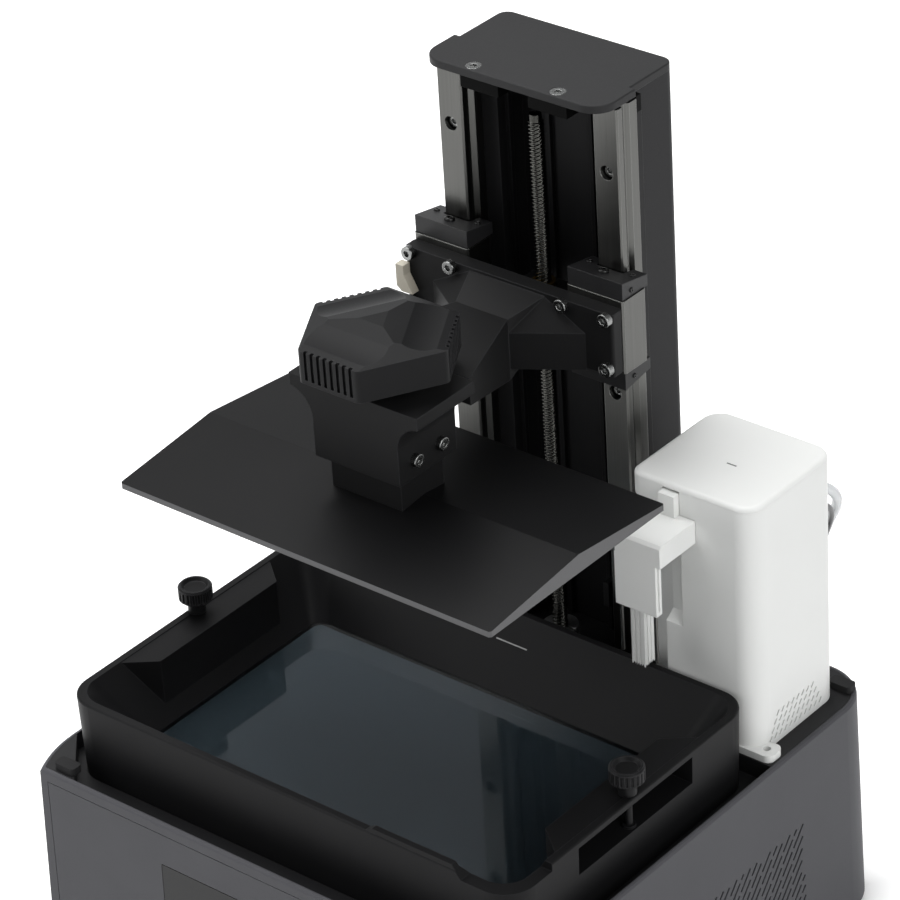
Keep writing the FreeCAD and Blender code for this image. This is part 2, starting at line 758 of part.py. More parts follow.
def rocker_pivot():
    """Axis of the power rocker: y and z."""
    return rear_wall(REAR_PORT_Z + SWITCH_HEIGHT / 2) - 4.0, REAR_PORT_Z


def rocker_housing():
    """Frame of the power switch with a pivot pin across it."""
    y1 = rear_wall(REAR_PORT_Z + SWITCH_HEIGHT / 2)
    half_x, half_z = SWITCH_WIDTH / 2 - SLIDE_GAP, SWITCH_HEIGHT / 2 - SLIDE_GAP
    x, z = SWITCH_X, REAR_PORT_Z
    body = box(x - half_x, x + half_x, y1 - 18, y1, z - half_z, z + half_z)
    well = box(x - half_x + 1.6, x + half_x - 1.6, y1 - 13, y1 + 1, z - half_z + 1.6, z + half_z - 1.6)
    pivot_y, pivot_z = rocker_pivot()
    pin = rod(x - half_x + 1, pivot_y, pivot_z, 1.2, 2 * half_x - 2, Vector(1, 0, 0))
    return body.cut(well).fuse(pin).removeSplitter()


def power_rocker():
    """Two-way rocker with a shallow V face."""
    half_x = SWITCH_WIDTH / 2 - SLIDE_GAP - 1.6 - SLIDE_GAP
    half_z = SWITCH_HEIGHT / 2 - SLIDE_GAP - 1.6 - 2 * SLIDE_GAP
    pivot_y, pivot_z = rocker_pivot()
    profile = [
        (pivot_y - 3.2, pivot_z - 2.6),
        (pivot_y + 2.6, pivot_z - half_z + 0.4),
        (pivot_y + 3.7, pivot_z - half_z + 0.4),
        (pivot_y + 2.9, pivot_z),
        (pivot_y + 3.7, pivot_z + half_z - 0.4),
        (pivot_y + 2.6, pivot_z + half_z - 0.4),
        (pivot_y - 3.2, pivot_z + 2.6),
    ]
    body = side_prism(profile, SWITCH_X - half_x, SWITCH_X + half_x)
    hole = rod(SWITCH_X - half_x - 1, pivot_y, pivot_z, 1.2 + RUNNING_FIT, 2 * half_x + 2, Vector(1, 0, 0))
    return body.cut(hole)


def feeder_socket():
    """Round socket in the back wall for the feeder's lead."""
    back = Vector(0, 1, 0)
    z = socket_level()
    y1 = rear_wall(z) + 0.3
    body = rod(SOCKET_X, y1 - 14, z, SOCKET_RADIUS - SLIDE_GAP, 14, back)
    return body.cut(rod(SOCKET_X, y1 - 9, z, PLUG_RADIUS + SLIDE_GAP, 10, back))


def tower_column():
    """Aluminium profile: two rail seats, a deep channel and a block that takes the cap screws."""
    half, channel = COLUMN_HALF, CHANNEL_HALF
    y0 = SEAT_Y
    back = COVER_Y - COVER_SHEET - SEAM / 2
    inner = COVER_HALF - COVER_SHEET - SEAM / 2
    profile = plan_prism(
        [
            (-half, y0), (-channel, y0), (-channel, y0 + CHANNEL_DEPTH), (channel, y0 + CHANNEL_DEPTH),
            (channel, y0), (half, y0), (half, y0 + COLUMN_FLANGE), (inner, y0 + COLUMN_FLANGE),
            (inner, back - COVER_CORNER), (inner - COVER_CORNER, back), (COVER_CORNER - inner, back),
            (-inner, back - COVER_CORNER), (-inner, y0 + COLUMN_FLANGE), (-half, y0 + COLUMN_FLANGE),
        ],
        RIM_Z,
        CAP_Z,
    )
    ribs = []
    floor_y = y0 + CHANNEL_DEPTH
    for x in (-21.0, -13.0, 13.0, 21.0):
        ribs.append(box(x - 1.2, x + 1.2, floor_y - 2.5, floor_y + 1, RIM_Z, CAP_Z))
    for side in (-1, 1):
        x = side * channel
        ribs.append(box(x - 2, x + 2, y0 + 6, y0 + 8.5, RIM_Z, CAP_Z))
    cells = []
    for side in (-1, 1):
        x0, x1 = sorted((side * (channel + 3), side * (inner - 3)))
        cells.append(box(x0, x1, y0 + 6, back - 3, RIM_Z - 1, CAP_Z - 8))
    cells.append(box(-channel, channel, floor_y + 3, back - 3, RIM_Z - 1, CAP_Z - 8))
    head_block = box(-channel - 2, channel + 2, PLATE_Y + CAP_FRONT + 3, y0 + 1, CAP_Z - 8, CAP_Z)
    head_block = head_block.cut(box(-9, 9, PLATE_Y + CAP_FRONT, AXIS_Y + 9, CAP_Z - 9, CAP_Z + 1))
    column = profile.multiFuse(ribs).cut(cells).fuse(head_block)
    taps = [rod(x, PLATE_Y + CAP_SCREW_Y, CAP_Z - 8, 1.5, 9) for x in (-CAP_SCREW_X, CAP_SCREW_X)]
    return column.cut(taps).removeSplitter()


def rear_cover():
    """Bent sheet cover round the sides and back of the column."""
    front = SEAT_Y + COLUMN_FLANGE + SEAM / 2
    middle_y, half_y = (front + COVER_Y) / 2, (COVER_Y - front) / 2
    outer = rounded_slab(0, middle_y, COVER_HALF, half_y, COVER_CORNER, RIM_Z, CAP_Z)
    sheet = COVER_SHEET
    inner = rounded_slab(
        0, middle_y - 10, COVER_HALF - sheet, half_y - sheet + 10, COVER_CORNER - sheet, RIM_Z - 1, CAP_Z + 1
    )
    square = box(-COVER_HALF, COVER_HALF, front, front + COVER_CORNER + 1, RIM_Z, CAP_Z)
    return outer.fuse(square).cut(inner).removeSplitter()


def top_cap():
    """Folded lid of the tower, wider in front where it covers the rails."""
    front, jog, back = PLATE_Y + CAP_FRONT, SEAT_Y, COVER_Y
    wide = rounded_slab(0, (front + jog) / 2, CAP_HALF, (jog - front) / 2, CAP_CORNER, CAP_Z, TOWER_TOP)
    square = box(-CAP_HALF, CAP_HALF, jog - CAP_CORNER, jog, CAP_Z, TOWER_TOP)
    middle, half = (jog + back) / 2 - 6, (back - jog) / 2 + 6
    narrow = rounded_slab(0, middle, COVER_HALF, half, COVER_CORNER, CAP_Z, TOWER_TOP)
    cap = wide.multiFuse([square, narrow]).removeSplitter()
    top_edges = [e for e in cap.Edges if e.BoundBox.ZMin > TOWER_TOP - 0.01]
    cap = cap.makeFillet(0.8, top_edges)
    seats = []
    for x in (-CAP_SCREW_X, CAP_SCREW_X):
        y = PLATE_Y + CAP_SCREW_Y
        seats.append(rod(x, y, CAP_Z - 1, 2.2, CAP_SHEET + 2))
        seats.append(Part.makeCone(2.2, 4.2, 2.2, Vector(x, y, TOWER_TOP - 2.2)))
    return cap.cut(seats)


def countersunk_screw(head_radius, head_depth, shank_radius, length):
    """Flat head screw whose top is at the origin."""
    head = Part.makeCone(shank_radius, head_radius, head_depth, Vector(0, 0, -head_depth))
    shank = rod(0, 0, -length, shank_radius, length - head_depth)
    key = head_radius * 0.48
    hexagon = [
        (key * math.cos(math.radians(60 * k)), key * math.sin(math.radians(60 * k))) for k in range(6)
    ]
    return head.fuse(shank).cut(plan_prism(hexagon, -1.4, 1)).removeSplitter()


def rail_hole_levels():
    """Heights of the fixing holes along a rail."""
    first = RIM_Z + RAIL_FIRST
    count = int((CAP_Z - 10 - first) // RAIL_PITCH) + 1
    return [first + RAIL_PITCH * k for k in range(count)]


def tower_screws():
    """Two flat screws in the cap and the socket screws of both rails."""
    screws = []
    cap_screw = countersunk_screw(4.0, 2.0, 1.45, 10)
    for x in (-CAP_SCREW_X, CAP_SCREW_X):
        screws.append(placed(cap_screw, x, PLATE_Y + CAP_SCREW_Y, TOWER_TOP - 0.1))
    rail_screw = socket_screw(3.2, 3.0, 1.9, RAIL_HEIGHT - 5.5)
    for x in (-RAIL_X, RAIL_X):
        for z in rail_hole_levels():
            screws.append(placed(rail_screw, x, SEAT_Y - RAIL_HEIGHT + 5.5, z, Vector(1, 0, 0), 90))
    return group(screws)


def rail(x):
    """Profile rail with ball grooves and counterbored holes."""
    half, y0, y1 = RAIL_WIDTH / 2, SEAT_Y - RAIL_HEIGHT, SEAT_Y
    groove = RAIL_GROOVE
    half_profile = [
        (half - 0.8, y0), (half, y0 + 0.8), (half, y0 + 3.6), (half - groove, y0 + 5.2),
        (half - groove, y0 + 7.6), (half, y0 + 9.6), (half, y1),
    ]
    points = half_profile + [(-px, py) for px, py in reversed(half_profile)]
    bar = plan_prism([(x + px, py) for px, py in points], RIM_Z, CAP_Z - 1)
    holes = []
    for z in rail_hole_levels():
        holes.append(rod(x, y0 - 1, z, 3.75, 6.5, Vector(0, 1, 0)))
        holes.append(rod(x, y0, z, 2.0, RAIL_HEIGHT + 1, Vector(0, 1, 0)))
    return bar.cut(holes)


def carriage_slot(z0, z1, gap):
    """Room for the rail through a carriage."""
    half = RAIL_WIDTH / 2 + gap
    return box(RAIL_X - half, RAIL_X + half, SEAT_Y - RAIL_HEIGHT - gap, SEAT_Y, z0, z1)


def carriage_block(x_side):
    """Steel block that runs on a rail, with tapped holes for the arm."""
    z0, z1 = CARRIAGE_Z - CARRIAGE_BODY / 2, CARRIAGE_Z + CARRIAGE_BODY / 2
    half = CARRIAGE_WIDTH / 2
    y0, y1 = BLOCK_Y, BLOCK_Y + CARRIAGE_DEPTH
    block = plan_prism(
        [
            (RAIL_X - half + 1, y0), (RAIL_X + half - 1, y0), (RAIL_X + half, y0 + 1),
            (RAIL_X + half, y1 - 4), (RAIL_X + half - 3, y1), (RAIL_X - half + 3, y1),
            (RAIL_X - half, y1 - 4), (RAIL_X - half, y0 + 1),
        ],
        z0,
        z1,
    )
    block = block.cut(carriage_slot(z0 - 1, z1 + 1, SLIDE_GAP))
    taps = []
    for x, z in bolt_places():
        taps.append(rod(x, y0 - 1, z, BOLT_SHANK + RUNNING_FIT, 8, Vector(0, 1, 0)))
    block = block.cut(taps)
    return block if x_side > 0 else mirrored(block)


def bolt_places():
    """Places of the three bolts of the right carriage: the gusset stands over the fourth corner."""
    half_x, half_z = BOLT_PITCH_X / 2, BOLT_PITCH_Z / 2
    offsets = [(-half_x, half_z), (half_x, half_z), (half_x, -half_z)]
    return [(RAIL_X + dx, CARRIAGE_Z + dz) for dx, dz in offsets]


def carriage_end_caps():
    """Black caps with sloping ends that close both carriages."""
    caps = []
    half = CARRIAGE_WIDTH / 2 - CAP_STEP
    y0, y1 = BLOCK_Y + CAP_STEP, BLOCK_Y + CARRIAGE_DEPTH - CAP_STEP
    for way in (-1, 1):
        inner = CARRIAGE_Z + way * CARRIAGE_BODY / 2
        outer = inner + way * CARRIAGE_CAP
        profile = [(y0, inner), (y1, inner), (y1, outer - way * CAP_FALL), (y0, outer)]
        cap = side_prism(profile, RAIL_X - half, RAIL_X + half)
        z0 = min(inner, outer)
        cap = cap.cut(carriage_slot(z0 - 1, z0 + CARRIAGE_CAP + 2, 2 * SLIDE_GAP))
        caps.append(cap)
        caps.append(mirrored(cap))
    return group(caps)


def sensor_block():
    """Pale sensor block at the left end of the arm's cross plate."""
    z, front = PLATE_Z, BLOCK_Y - ARM_PLATE
    end = SENSOR_END
    outline = [
        (-end, z + 66), (-end, z + 54), (-end + 3, z + 51.5), (-end + 10, z + 51.5),
        (-end + 5, z + 60.5), (-end + 5, z + 66),
    ]
    return front_prism(outline, front - 5, front)


def arm():
    """Cast arm: cross plate, gussets, tapering beam, tongue and nut block in one piece."""
    z = PLATE_Z
    front, back = BLOCK_Y - ARM_PLATE, BLOCK_Y
    root = PLATE_Y + BEAM_ROOT
    nose = PLATE_Y + BRACKET_DEPTH / 2 + SLIDE_GAP
    plate = box(-ARM_PLATE_HALF, ARM_PLATE_HALF, front, back, z + ARM_PLATE_BOTTOM, z + ARM_PLATE_TOP)
    upright = [e for e in plate.Edges if abs(e.tangentAt(e.FirstParameter).z) > 0.9]
    plate = plate.makeFillet(1.5, upright)
    side = side_prism(
        [
            (nose, z + BEAM_NOSE_BOTTOM),
            (root, z + BEAM_ROOT_BOTTOM),
            (root + 8, z + GUSSET_BOTTOM + 2),
            (front + 1, z + GUSSET_BOTTOM + 2),
            (front + 1, z + ARM_PLATE_TOP - 1.5),
            (root, z + HEAD_TOP),
            (nose, z + HEAD_TOP),
        ],
        -ARM_PLATE_HALF,
        ARM_PLATE_HALF,
    )
    plan = [
        (BEAM_NOSE_HALF, nose),
        (BEAM_ROOT_HALF, root),
        (GUSSET_CREST, front + 1),
    ]
    outline = plan + [(-px, py) for px, py in reversed(plan)]
    beam = side.common(plan_prism(outline, z, z + ARM_PLATE_TOP + 10))
    gusset = plan_prism(
        [
            (BEAM_ROOT_HALF - 1, root), (BEAM_ROOT_HALF, root), (GUSSET_REACH, front),
            (GUSSET_REACH, front + 1), (GUSSET_CREST - 1, front + 1),
        ],
        z + GUSSET_BOTTOM,
        z + ARM_PLATE_TOP,
    )
    crown = gusset_crown(front, root)
    gusset = gusset.common(crown)
    tongue = box(
        -TONGUE_HALF + SLIDE_GAP, TONGUE_HALF - SLIDE_GAP, nose - TONGUE_LENGTH, nose + 4,
        z + TONGUE_BOTTOM + SLIDE_GAP, z + TONGUE_TOP - SLIDE_GAP,
    )
    nut_block = box(
        -NUT_BLOCK_HALF, NUT_BLOCK_HALF, back - 1, AXIS_Y + NUT_FLANGE_RADIUS,
        z + NUT_BLOCK_BOTTOM, z + NUT_BLOCK_TOP,
    )
    holes = [rod(0, AXIS_Y, z, NUT_RADIUS + RUNNING_FIT, ARM_PLATE_TOP)]
    for x, bolt_z in bolt_places():
        for side_x in (-x, x):
            bore = BOLT_SHANK + RUNNING_FIT
            holes.append(rod(side_x, front - 1, bolt_z, bore, ARM_PLATE + 2, Vector(0, 1, 0)))
    body = plate.multiFuse([beam, gusset, mirrored(gusset), tongue, nut_block]).cut(holes)
    return body.removeSplitter()


def gusset_crown(front, root):
    """Half space under the sloping top of the right gusset."""
    z = PLATE_Z
    low_a = Vector(BEAM_ROOT_HALF, root, z + GUSSET_TOP)
    low_b = Vector(GUSSET_REACH, front, z + GUSSET_TOP)
    high = Vector(GUSSET_CREST, front + 1, z + ARM_PLATE_TOP - 1.5)
    normal = (low_b - low_a).cross(high - low_a).normalize()
    span = 400.0
    face = Part.makePlane(2 * span, 2 * span, low_a, normal)
    centre = face.BoundBox.Center
    face.translate(low_a - centre)
    return face.extrude(normal * -span)


def arm_screws():
    """Six socket screws that fix the arm to the carriages."""
    screw = socket_screw(BOLT_HEAD_RADIUS, BOLT_HEAD, BOLT_SHANK, ARM_PLATE + 5)
    screws = []
    for x, z in bolt_places():
        for side_x in (-x, x):
            screws.append(placed(screw, side_x, BLOCK_Y - ARM_PLATE, z, Vector(1, 0, 0), 90))
    return group(screws)


def lead_nut():
    """Flanged brass nut under the arm's nut block."""
    z0, z1 = PLATE_Z + NUT_BLOCK_BOTTOM, PLATE_Z + NUT_BLOCK_TOP
    barrel = rod(0, AXIS_Y, z0 - 10, NUT_RADIUS, z1 - z0 + 14)
    flange = rod(0, AXIS_Y, z0 - NUT_FLANGE, NUT_FLANGE_RADIUS, NUT_FLANGE)
    bore = rod(0, AXIS_Y, z0 - 11, SCREW_RADIUS + RUNNING_FIT, z1 - z0 + 20)
    return barrel.fuse(flange).cut(bore).removeSplitter()


def endstop_flag():
    """Bent blade beside the nut block that enters the sensor at the bottom of the travel."""
    z0, z1 = PLATE_Z + NUT_BLOCK_BOTTOM, PLATE_Z + NUT_BLOCK_TOP
    y0 = SEAT_Y - 6
    foot = box(NUT_BLOCK_HALF, FLAG_X + FLAG_SHEET / 2, y0 - FLAG_SHEET, y0, z0, z1)
    tab = box(NUT_BLOCK_HALF, NUT_BLOCK_HALF + FLAG_SHEET, y0 - 8, y0, z0, z1)
    half = FLAG_SHEET / 2
    blade = box(FLAG_X - half, FLAG_X + half, y0 - FLAG_SHEET, y0 + 17, z0 - FLAG_DROP, z1)
    return foot.multiFuse([tab, blade]).removeSplitter()


def z_endstop():
    """Slotted light sensor on the side of the column's channel."""
    z0 = RIM_Z + SENSOR_RISE
    y0, y1 = SEAT_Y + 5, SEAT_Y + CHANNEL_DEPTH - 3
    body = box(FLAG_X - 5, CHANNEL_HALF - 2, y0, y1, z0, z0 + 14)
    return body.cut(box(FLAG_X - 1.6, FLAG_X + 1.6, y0 - 1, y0 + 9, z0 - 1, z0 + 15))


def lead_screw():
    """Trapezoidal screw, drawn at its outside diameter, with a chamfered top."""
    bottom = coupler_bottom() + COUPLER_LENGTH / 2
    bar = rod(0, AXIS_Y, bottom, SCREW_RADIUS, RIM_Z + SCREW_TOP - bottom)
    top = [e for e in bar.Edges if e.BoundBox.ZMin > RIM_Z + SCREW_TOP - 0.01]
    return bar.makeChamfer(0.8, top)


def coupler_bottom():
    """Lower end of the coupler, just over the motor's mount."""
    return DECK_Z - DECK_SHEET + 1


def motor_coupler():
    """Clamp coupler between the motor shaft and the lead screw."""
    z0 = coupler_bottom()
    body = rod(0, AXIS_Y, z0, COUPLER_RADIUS, COUPLER_LENGTH)
    upper = rod(0, AXIS_Y, z0 + COUPLER_LENGTH / 2, SCREW_RADIUS, COUPLER_LENGTH)
    lower = rod(0, AXIS_Y, z0 - 1, MOTOR_SHAFT_RADIUS + RUNNING_FIT, COUPLER_LENGTH)
    slit = box(0, COUPLER_RADIUS + 1, AXIS_Y - 0.6, AXIS_Y + 0.6, z0 - 1, z0 + COUPLER_LENGTH * 0.3)
    top_slit = slit.copy()
    top_slit.translate(Vector(0, 0, COUPLER_LENGTH * 0.7 + 1))
    return body.cut([upper, lower, slit, top_slit])


def motor_mount():
    """Plate on the motor, held under the deck by four posts."""
    z1 = DECK_Z - DECK_SHEET
    half = MOTOR_SIDE / 2 + 5
    parts = [box(-half, half, AXIS_Y - half, AXIS_Y + half, z1 - 7, z1 - 4)]
    for x in (-half + 4, half - 4):
        for y in (AXIS_Y - half + 4, AXIS_Y + half - 4):
            parts.append(rod(x, y, z1 - 4, 3.5, 4))
    plate = parts[0].multiFuse(parts[1:])
    return plate.cut(rod(0, AXIS_Y, z1 - 8, 11.2, 10)).removeSplitter()


def z_motor():
    """Square stepper motor with its boss and shaft."""
    z1 = DECK_Z - DECK_SHEET - 7
    half = MOTOR_SIDE / 2
    body = box(-half, half, AXIS_Y - half, AXIS_Y + half, z1 - MOTOR_LENGTH, z1)
    body = body.makeChamfer(4, [e for e in body.Edges if abs(e.tangentAt(e.FirstParameter).z) > 0.9])
    boss = rod(0, AXIS_Y, z1, 11, 2)
    shaft = rod(0, AXIS_Y, z1, MOTOR_SHAFT_RADIUS, coupler_bottom() + COUPLER_LENGTH / 2 - 1 - z1)
    return body.multiFuse([boss, shaft]).removeSplitter()


def platform_bracket():
    """Head of the build plate: coved sides, a socket for the arm's tongue and a pocket for the stub."""
    z = PLATE_Z
    y0, y1 = PLATE_Y - BRACKET_DEPTH / 2, PLATE_Y + BRACKET_DEPTH / 2
    half, wing = BRACKET_HALF, FLANGE_HALF
    centre_x, centre_z = half + COVE_RADIUS, z + FLANGE_UNDER - COVE_RADIUS
    rise = math.sqrt(COVE_RADIUS ** 2 - (centre_x - wing) ** 2)
    turn = (math.pi + math.acos((wing - centre_x) / COVE_RADIUS)) / 2

    def at(side, x, height):
        return Vector(side * x, y0, height)

    arc_start = (half, centre_z)
    arc_middle = (centre_x + COVE_RADIUS * math.cos(turn), centre_z + COVE_RADIUS * math.sin(turn))
    arc_end = (wing, centre_z + rise)
    edges = [Part.LineSegment(at(-1, half, z + BRACKET_BOTTOM), at(1, half, z + BRACKET_BOTTOM)).toShape()]
    for side in (1, -1):
        edges.append(Part.LineSegment(at(side, half, z + BRACKET_BOTTOM), at(side, *arc_start)).toShape())
        edges.append(Part.Arc(at(side, *arc_start), at(side, *arc_middle), at(side, *arc_end)).toShape())
        edges.append(Part.LineSegment(at(side, *arc_end), at(side, wing, z + HEAD_TOP)).toShape())
    edges.append(Part.LineSegment(at(1, wing, z + HEAD_TOP), at(-1, wing, z + HEAD_TOP)).toShape())
    outline = Part.Wire(Part.__sortEdges__(edges))
    body = Part.Face(outline).extrude(Vector(0, y1 - y0, 0))
    tongue_room = box(
        -TONGUE_HALF, TONGUE_HALF, y1 - TONGUE_LENGTH - SLIDE_GAP, y1 + 1, z + TONGUE_BOTTOM, z + TONGUE_TOP
    )
    stub_room = box(
        -STUB_LENGTH / 2 - SLIDE_GAP, STUB_LENGTH / 2 + SLIDE_GAP,
        PLATE_Y - STUB_WIDTH / 2 - SLIDE_GAP, PLATE_Y + STUB_WIDTH / 2 + SLIDE_GAP,
        z + BRACKET_BOTTOM - 1, z + STUB_TOP + SLIDE_GAP,
    )
    stud_hole = rod(0, PLATE_Y, z + TONGUE_TOP - 1, STUD_RADIUS + RUNNING_FIT, HEAD_TOP - TONGUE_TOP + 2)
    holes = [tongue_room, stub_room, stud_hole]
    for y in (-LEVEL_SCREW_Y, LEVEL_SCREW_Y):
        bore = LEVEL_SHANK_RADIUS + RUNNING_FIT
        holes.append(rod(-60, PLATE_Y + y, z + LEVEL_SCREW_Z, bore, 120, Vector(1, 0, 0)))
    return body.cut(holes)


def platform_stub():
    """Neck between the bracket and the build plate, with a foot that follows the plate's ridge."""
    z = PLATE_Z
    half_x, half_y = STUB_LENGTH / 2, STUB_WIDTH / 2
    slope = (PLATE_RIDGE - PLATE_EDGE) / (PLATE_WIDTH / 2)
    profile = [
        (PLATE_Y - half_y, z + PLATE_RIDGE - slope * half_y),
        (PLATE_Y, z + PLATE_RIDGE),
        (PLATE_Y + half_y, z + PLATE_RIDGE - slope * half_y),
        (PLATE_Y + half_y, z + STUB_TOP),
        (PLATE_Y - half_y, z + STUB_TOP),
    ]
    return side_prism(profile, -half_x, half_x)


def build_plate():
    """Flat plate with a low hipped back."""
    z = PLATE_Z
    half_x, half_y = PLATE_LENGTH / 2, PLATE_WIDTH / 2
    profile = [
        (PLATE_Y - half_y, z), (PLATE_Y + half_y, z), (PLATE_Y + half_y, z + PLATE_EDGE),
        (PLATE_Y, z + PLATE_RIDGE), (PLATE_Y - half_y, z + PLATE_EDGE),
    ]
    plate = side_prism(profile, -half_x, half_x)
    corners = [
        e for e in plate.Edges
        if abs(e.tangentAt(e.FirstParameter).z) > 0.9 and e.Length < PLATE_EDGE + 0.1
    ]
    return plate.makeChamfer(1.0, corners)


def leveling_screws():
    """Four socket screws that lock the stub in the bracket."""
    reach = BRACKET_HALF - STUB_LENGTH / 2 - SLIDE_GAP
    screw = socket_screw(LEVEL_HEAD_RADIUS, 3.0, LEVEL_SHANK_RADIUS, reach)
    screws = []
    for side in (-1, 1):
        for y in (-LEVEL_SCREW_Y, LEVEL_SCREW_Y):
            place_y, place_z = PLATE_Y + y, PLATE_Z + LEVEL_SCREW_Z
            screws.append(placed(screw, side * BRACKET_HALF, place_y, place_z, Vector(0, 1, 0), side * 90))
    return group(screws)


def knob_slope(direction, apothem, lean):
    """Half space under one sloping face of the knob's crown."""
    angle = math.radians(direction)
    outward = Vector(math.cos(angle), math.sin(angle), 0)
    tilt = math.radians(lean)
    normal = outward * math.sin(tilt) + Vector(0, 0, math.cos(tilt))
    edge = Vector(0, PLATE_Y, PLATE_Z + KNOB_BOTTOM + KNOB_WALL) + outward * apothem
    span = 200.0
    face = Part.makePlane(2 * span, 2 * span, edge, normal)
    face.translate(edge - face.BoundBox.Center)
    return face.extrude(normal * span)


def knob_scoop(direction, apothem):
    """Roller that presses a shallow thumb scoop into the slope over a ribbed side."""
    angle, tilt = math.radians(direction), math.radians(KNOB_CROWN)
    outward = Vector(math.cos(angle), math.sin(angle), 0)
    along = Vector(-math.sin(angle), math.cos(angle), 0)
    rise = KNOB_BOTTOM + KNOB_WALL + (apothem - SCOOP_REACH) * math.tan(tilt)
    middle = Vector(0, PLATE_Y, PLATE_Z + rise) + outward * SCOOP_REACH
    normal = outward * math.sin(tilt) + Vector(0, 0, math.cos(tilt))
    axis = middle + normal * (SCOOP_RADIUS - SCOOP_DEPTH)
    return Part.makeCylinder(SCOOP_RADIUS, 2 * KNOB_RADIUS, axis - along * KNOB_RADIUS, along)


def clamp_knob():
    """Six-sided clamp knob with ribs on three sides, a sloping crown and a moulded-in stud."""
    half_rib = KNOB_RIB_ANGLE / 2
    corners = []
    for middle in (-90, 30, 150):
        for offset in (-half_rib, half_rib):
            angle = math.radians(middle + offset)
            corners.append((KNOB_RADIUS * math.cos(angle), PLATE_Y + KNOB_RADIUS * math.sin(angle)))
    z0, top = PLATE_Z + KNOB_BOTTOM, PLATE_Z + KNOB_TOP
    body = plan_prism(corners, z0, top)
    body = body.makeFillet(KNOB_EDGE, [e for e in body.Edges if abs(e.tangentAt(e.FirstParameter).z) > 0.9])
    rib_apothem = KNOB_RADIUS * math.cos(math.radians(half_rib))
    plain_apothem = KNOB_RADIUS * math.cos(math.radians(60 - half_rib))
    cuts = []
    for middle in (-90, 30, 150):
        cuts.append(knob_slope(middle, rib_apothem, KNOB_CROWN))
        cuts.append(knob_slope(middle + 60, plain_apothem, KNOB_BEVEL))
        cuts.append(knob_scoop(middle, rib_apothem))
    for middle in (-90, 30, 150):
        for k in range(KNOB_RIBS):
            offset = (k - (KNOB_RIBS - 1) / 2) * RIB_PITCH
            groove = box(
                rib_apothem - RIB_DEPTH, rib_apothem + 4, offset - RIB_WIDTH / 2, offset + RIB_WIDTH / 2,
                z0 + 2, z0 + KNOB_WALL + 3,
            )
            groove.rotate(Vector(0, 0, 0), Vector(0, 0, 1), middle)
            groove.translate(Vector(0, PLATE_Y, 0))
            cuts.append(groove)
    body = body.cut(cuts)
    collar_z = PLATE_Z + HEAD_TOP + SLIDE_GAP
    collar = rod(0, PLATE_Y, collar_z, COLLAR_RADIUS, z0 + 1 - collar_z)
    stud_z = PLATE_Z + TONGUE_TOP + SLIDE_GAP
    stud = rod(0, PLATE_Y, stud_z, STUD_RADIUS, z0 + 1 - stud_z)
    return body.multiFuse([collar, stud]).removeSplitter()


def vat_outline(grow, z):
    """Plan outline of the vat's outer wall."""
    return rounded_outline(0, PLATE_Y, VAT_LENGTH / 2 + grow, VAT_WIDTH / 2 + grow, VAT_CORNER + grow, z)


def pouring_guard():
    """Raised stretch of the front rim before the pouring corner."""
    top, front = VAT_RIM_Z, PLATE_Y - VAT_WIDTH / 2
    end = VAT_LENGTH / 2 - SPOUT_LENGTH + 2
    profile = [
        (GUARD_START - 1, top - 3), (GUARD_START - 1, top), (GUARD_START + 3, top + GUARD_RISE),
        (end, top + GUARD_RISE), (end, top - 3),
    ]
    return front_prism(profile, front + 0.6, front + VAT_LIP)


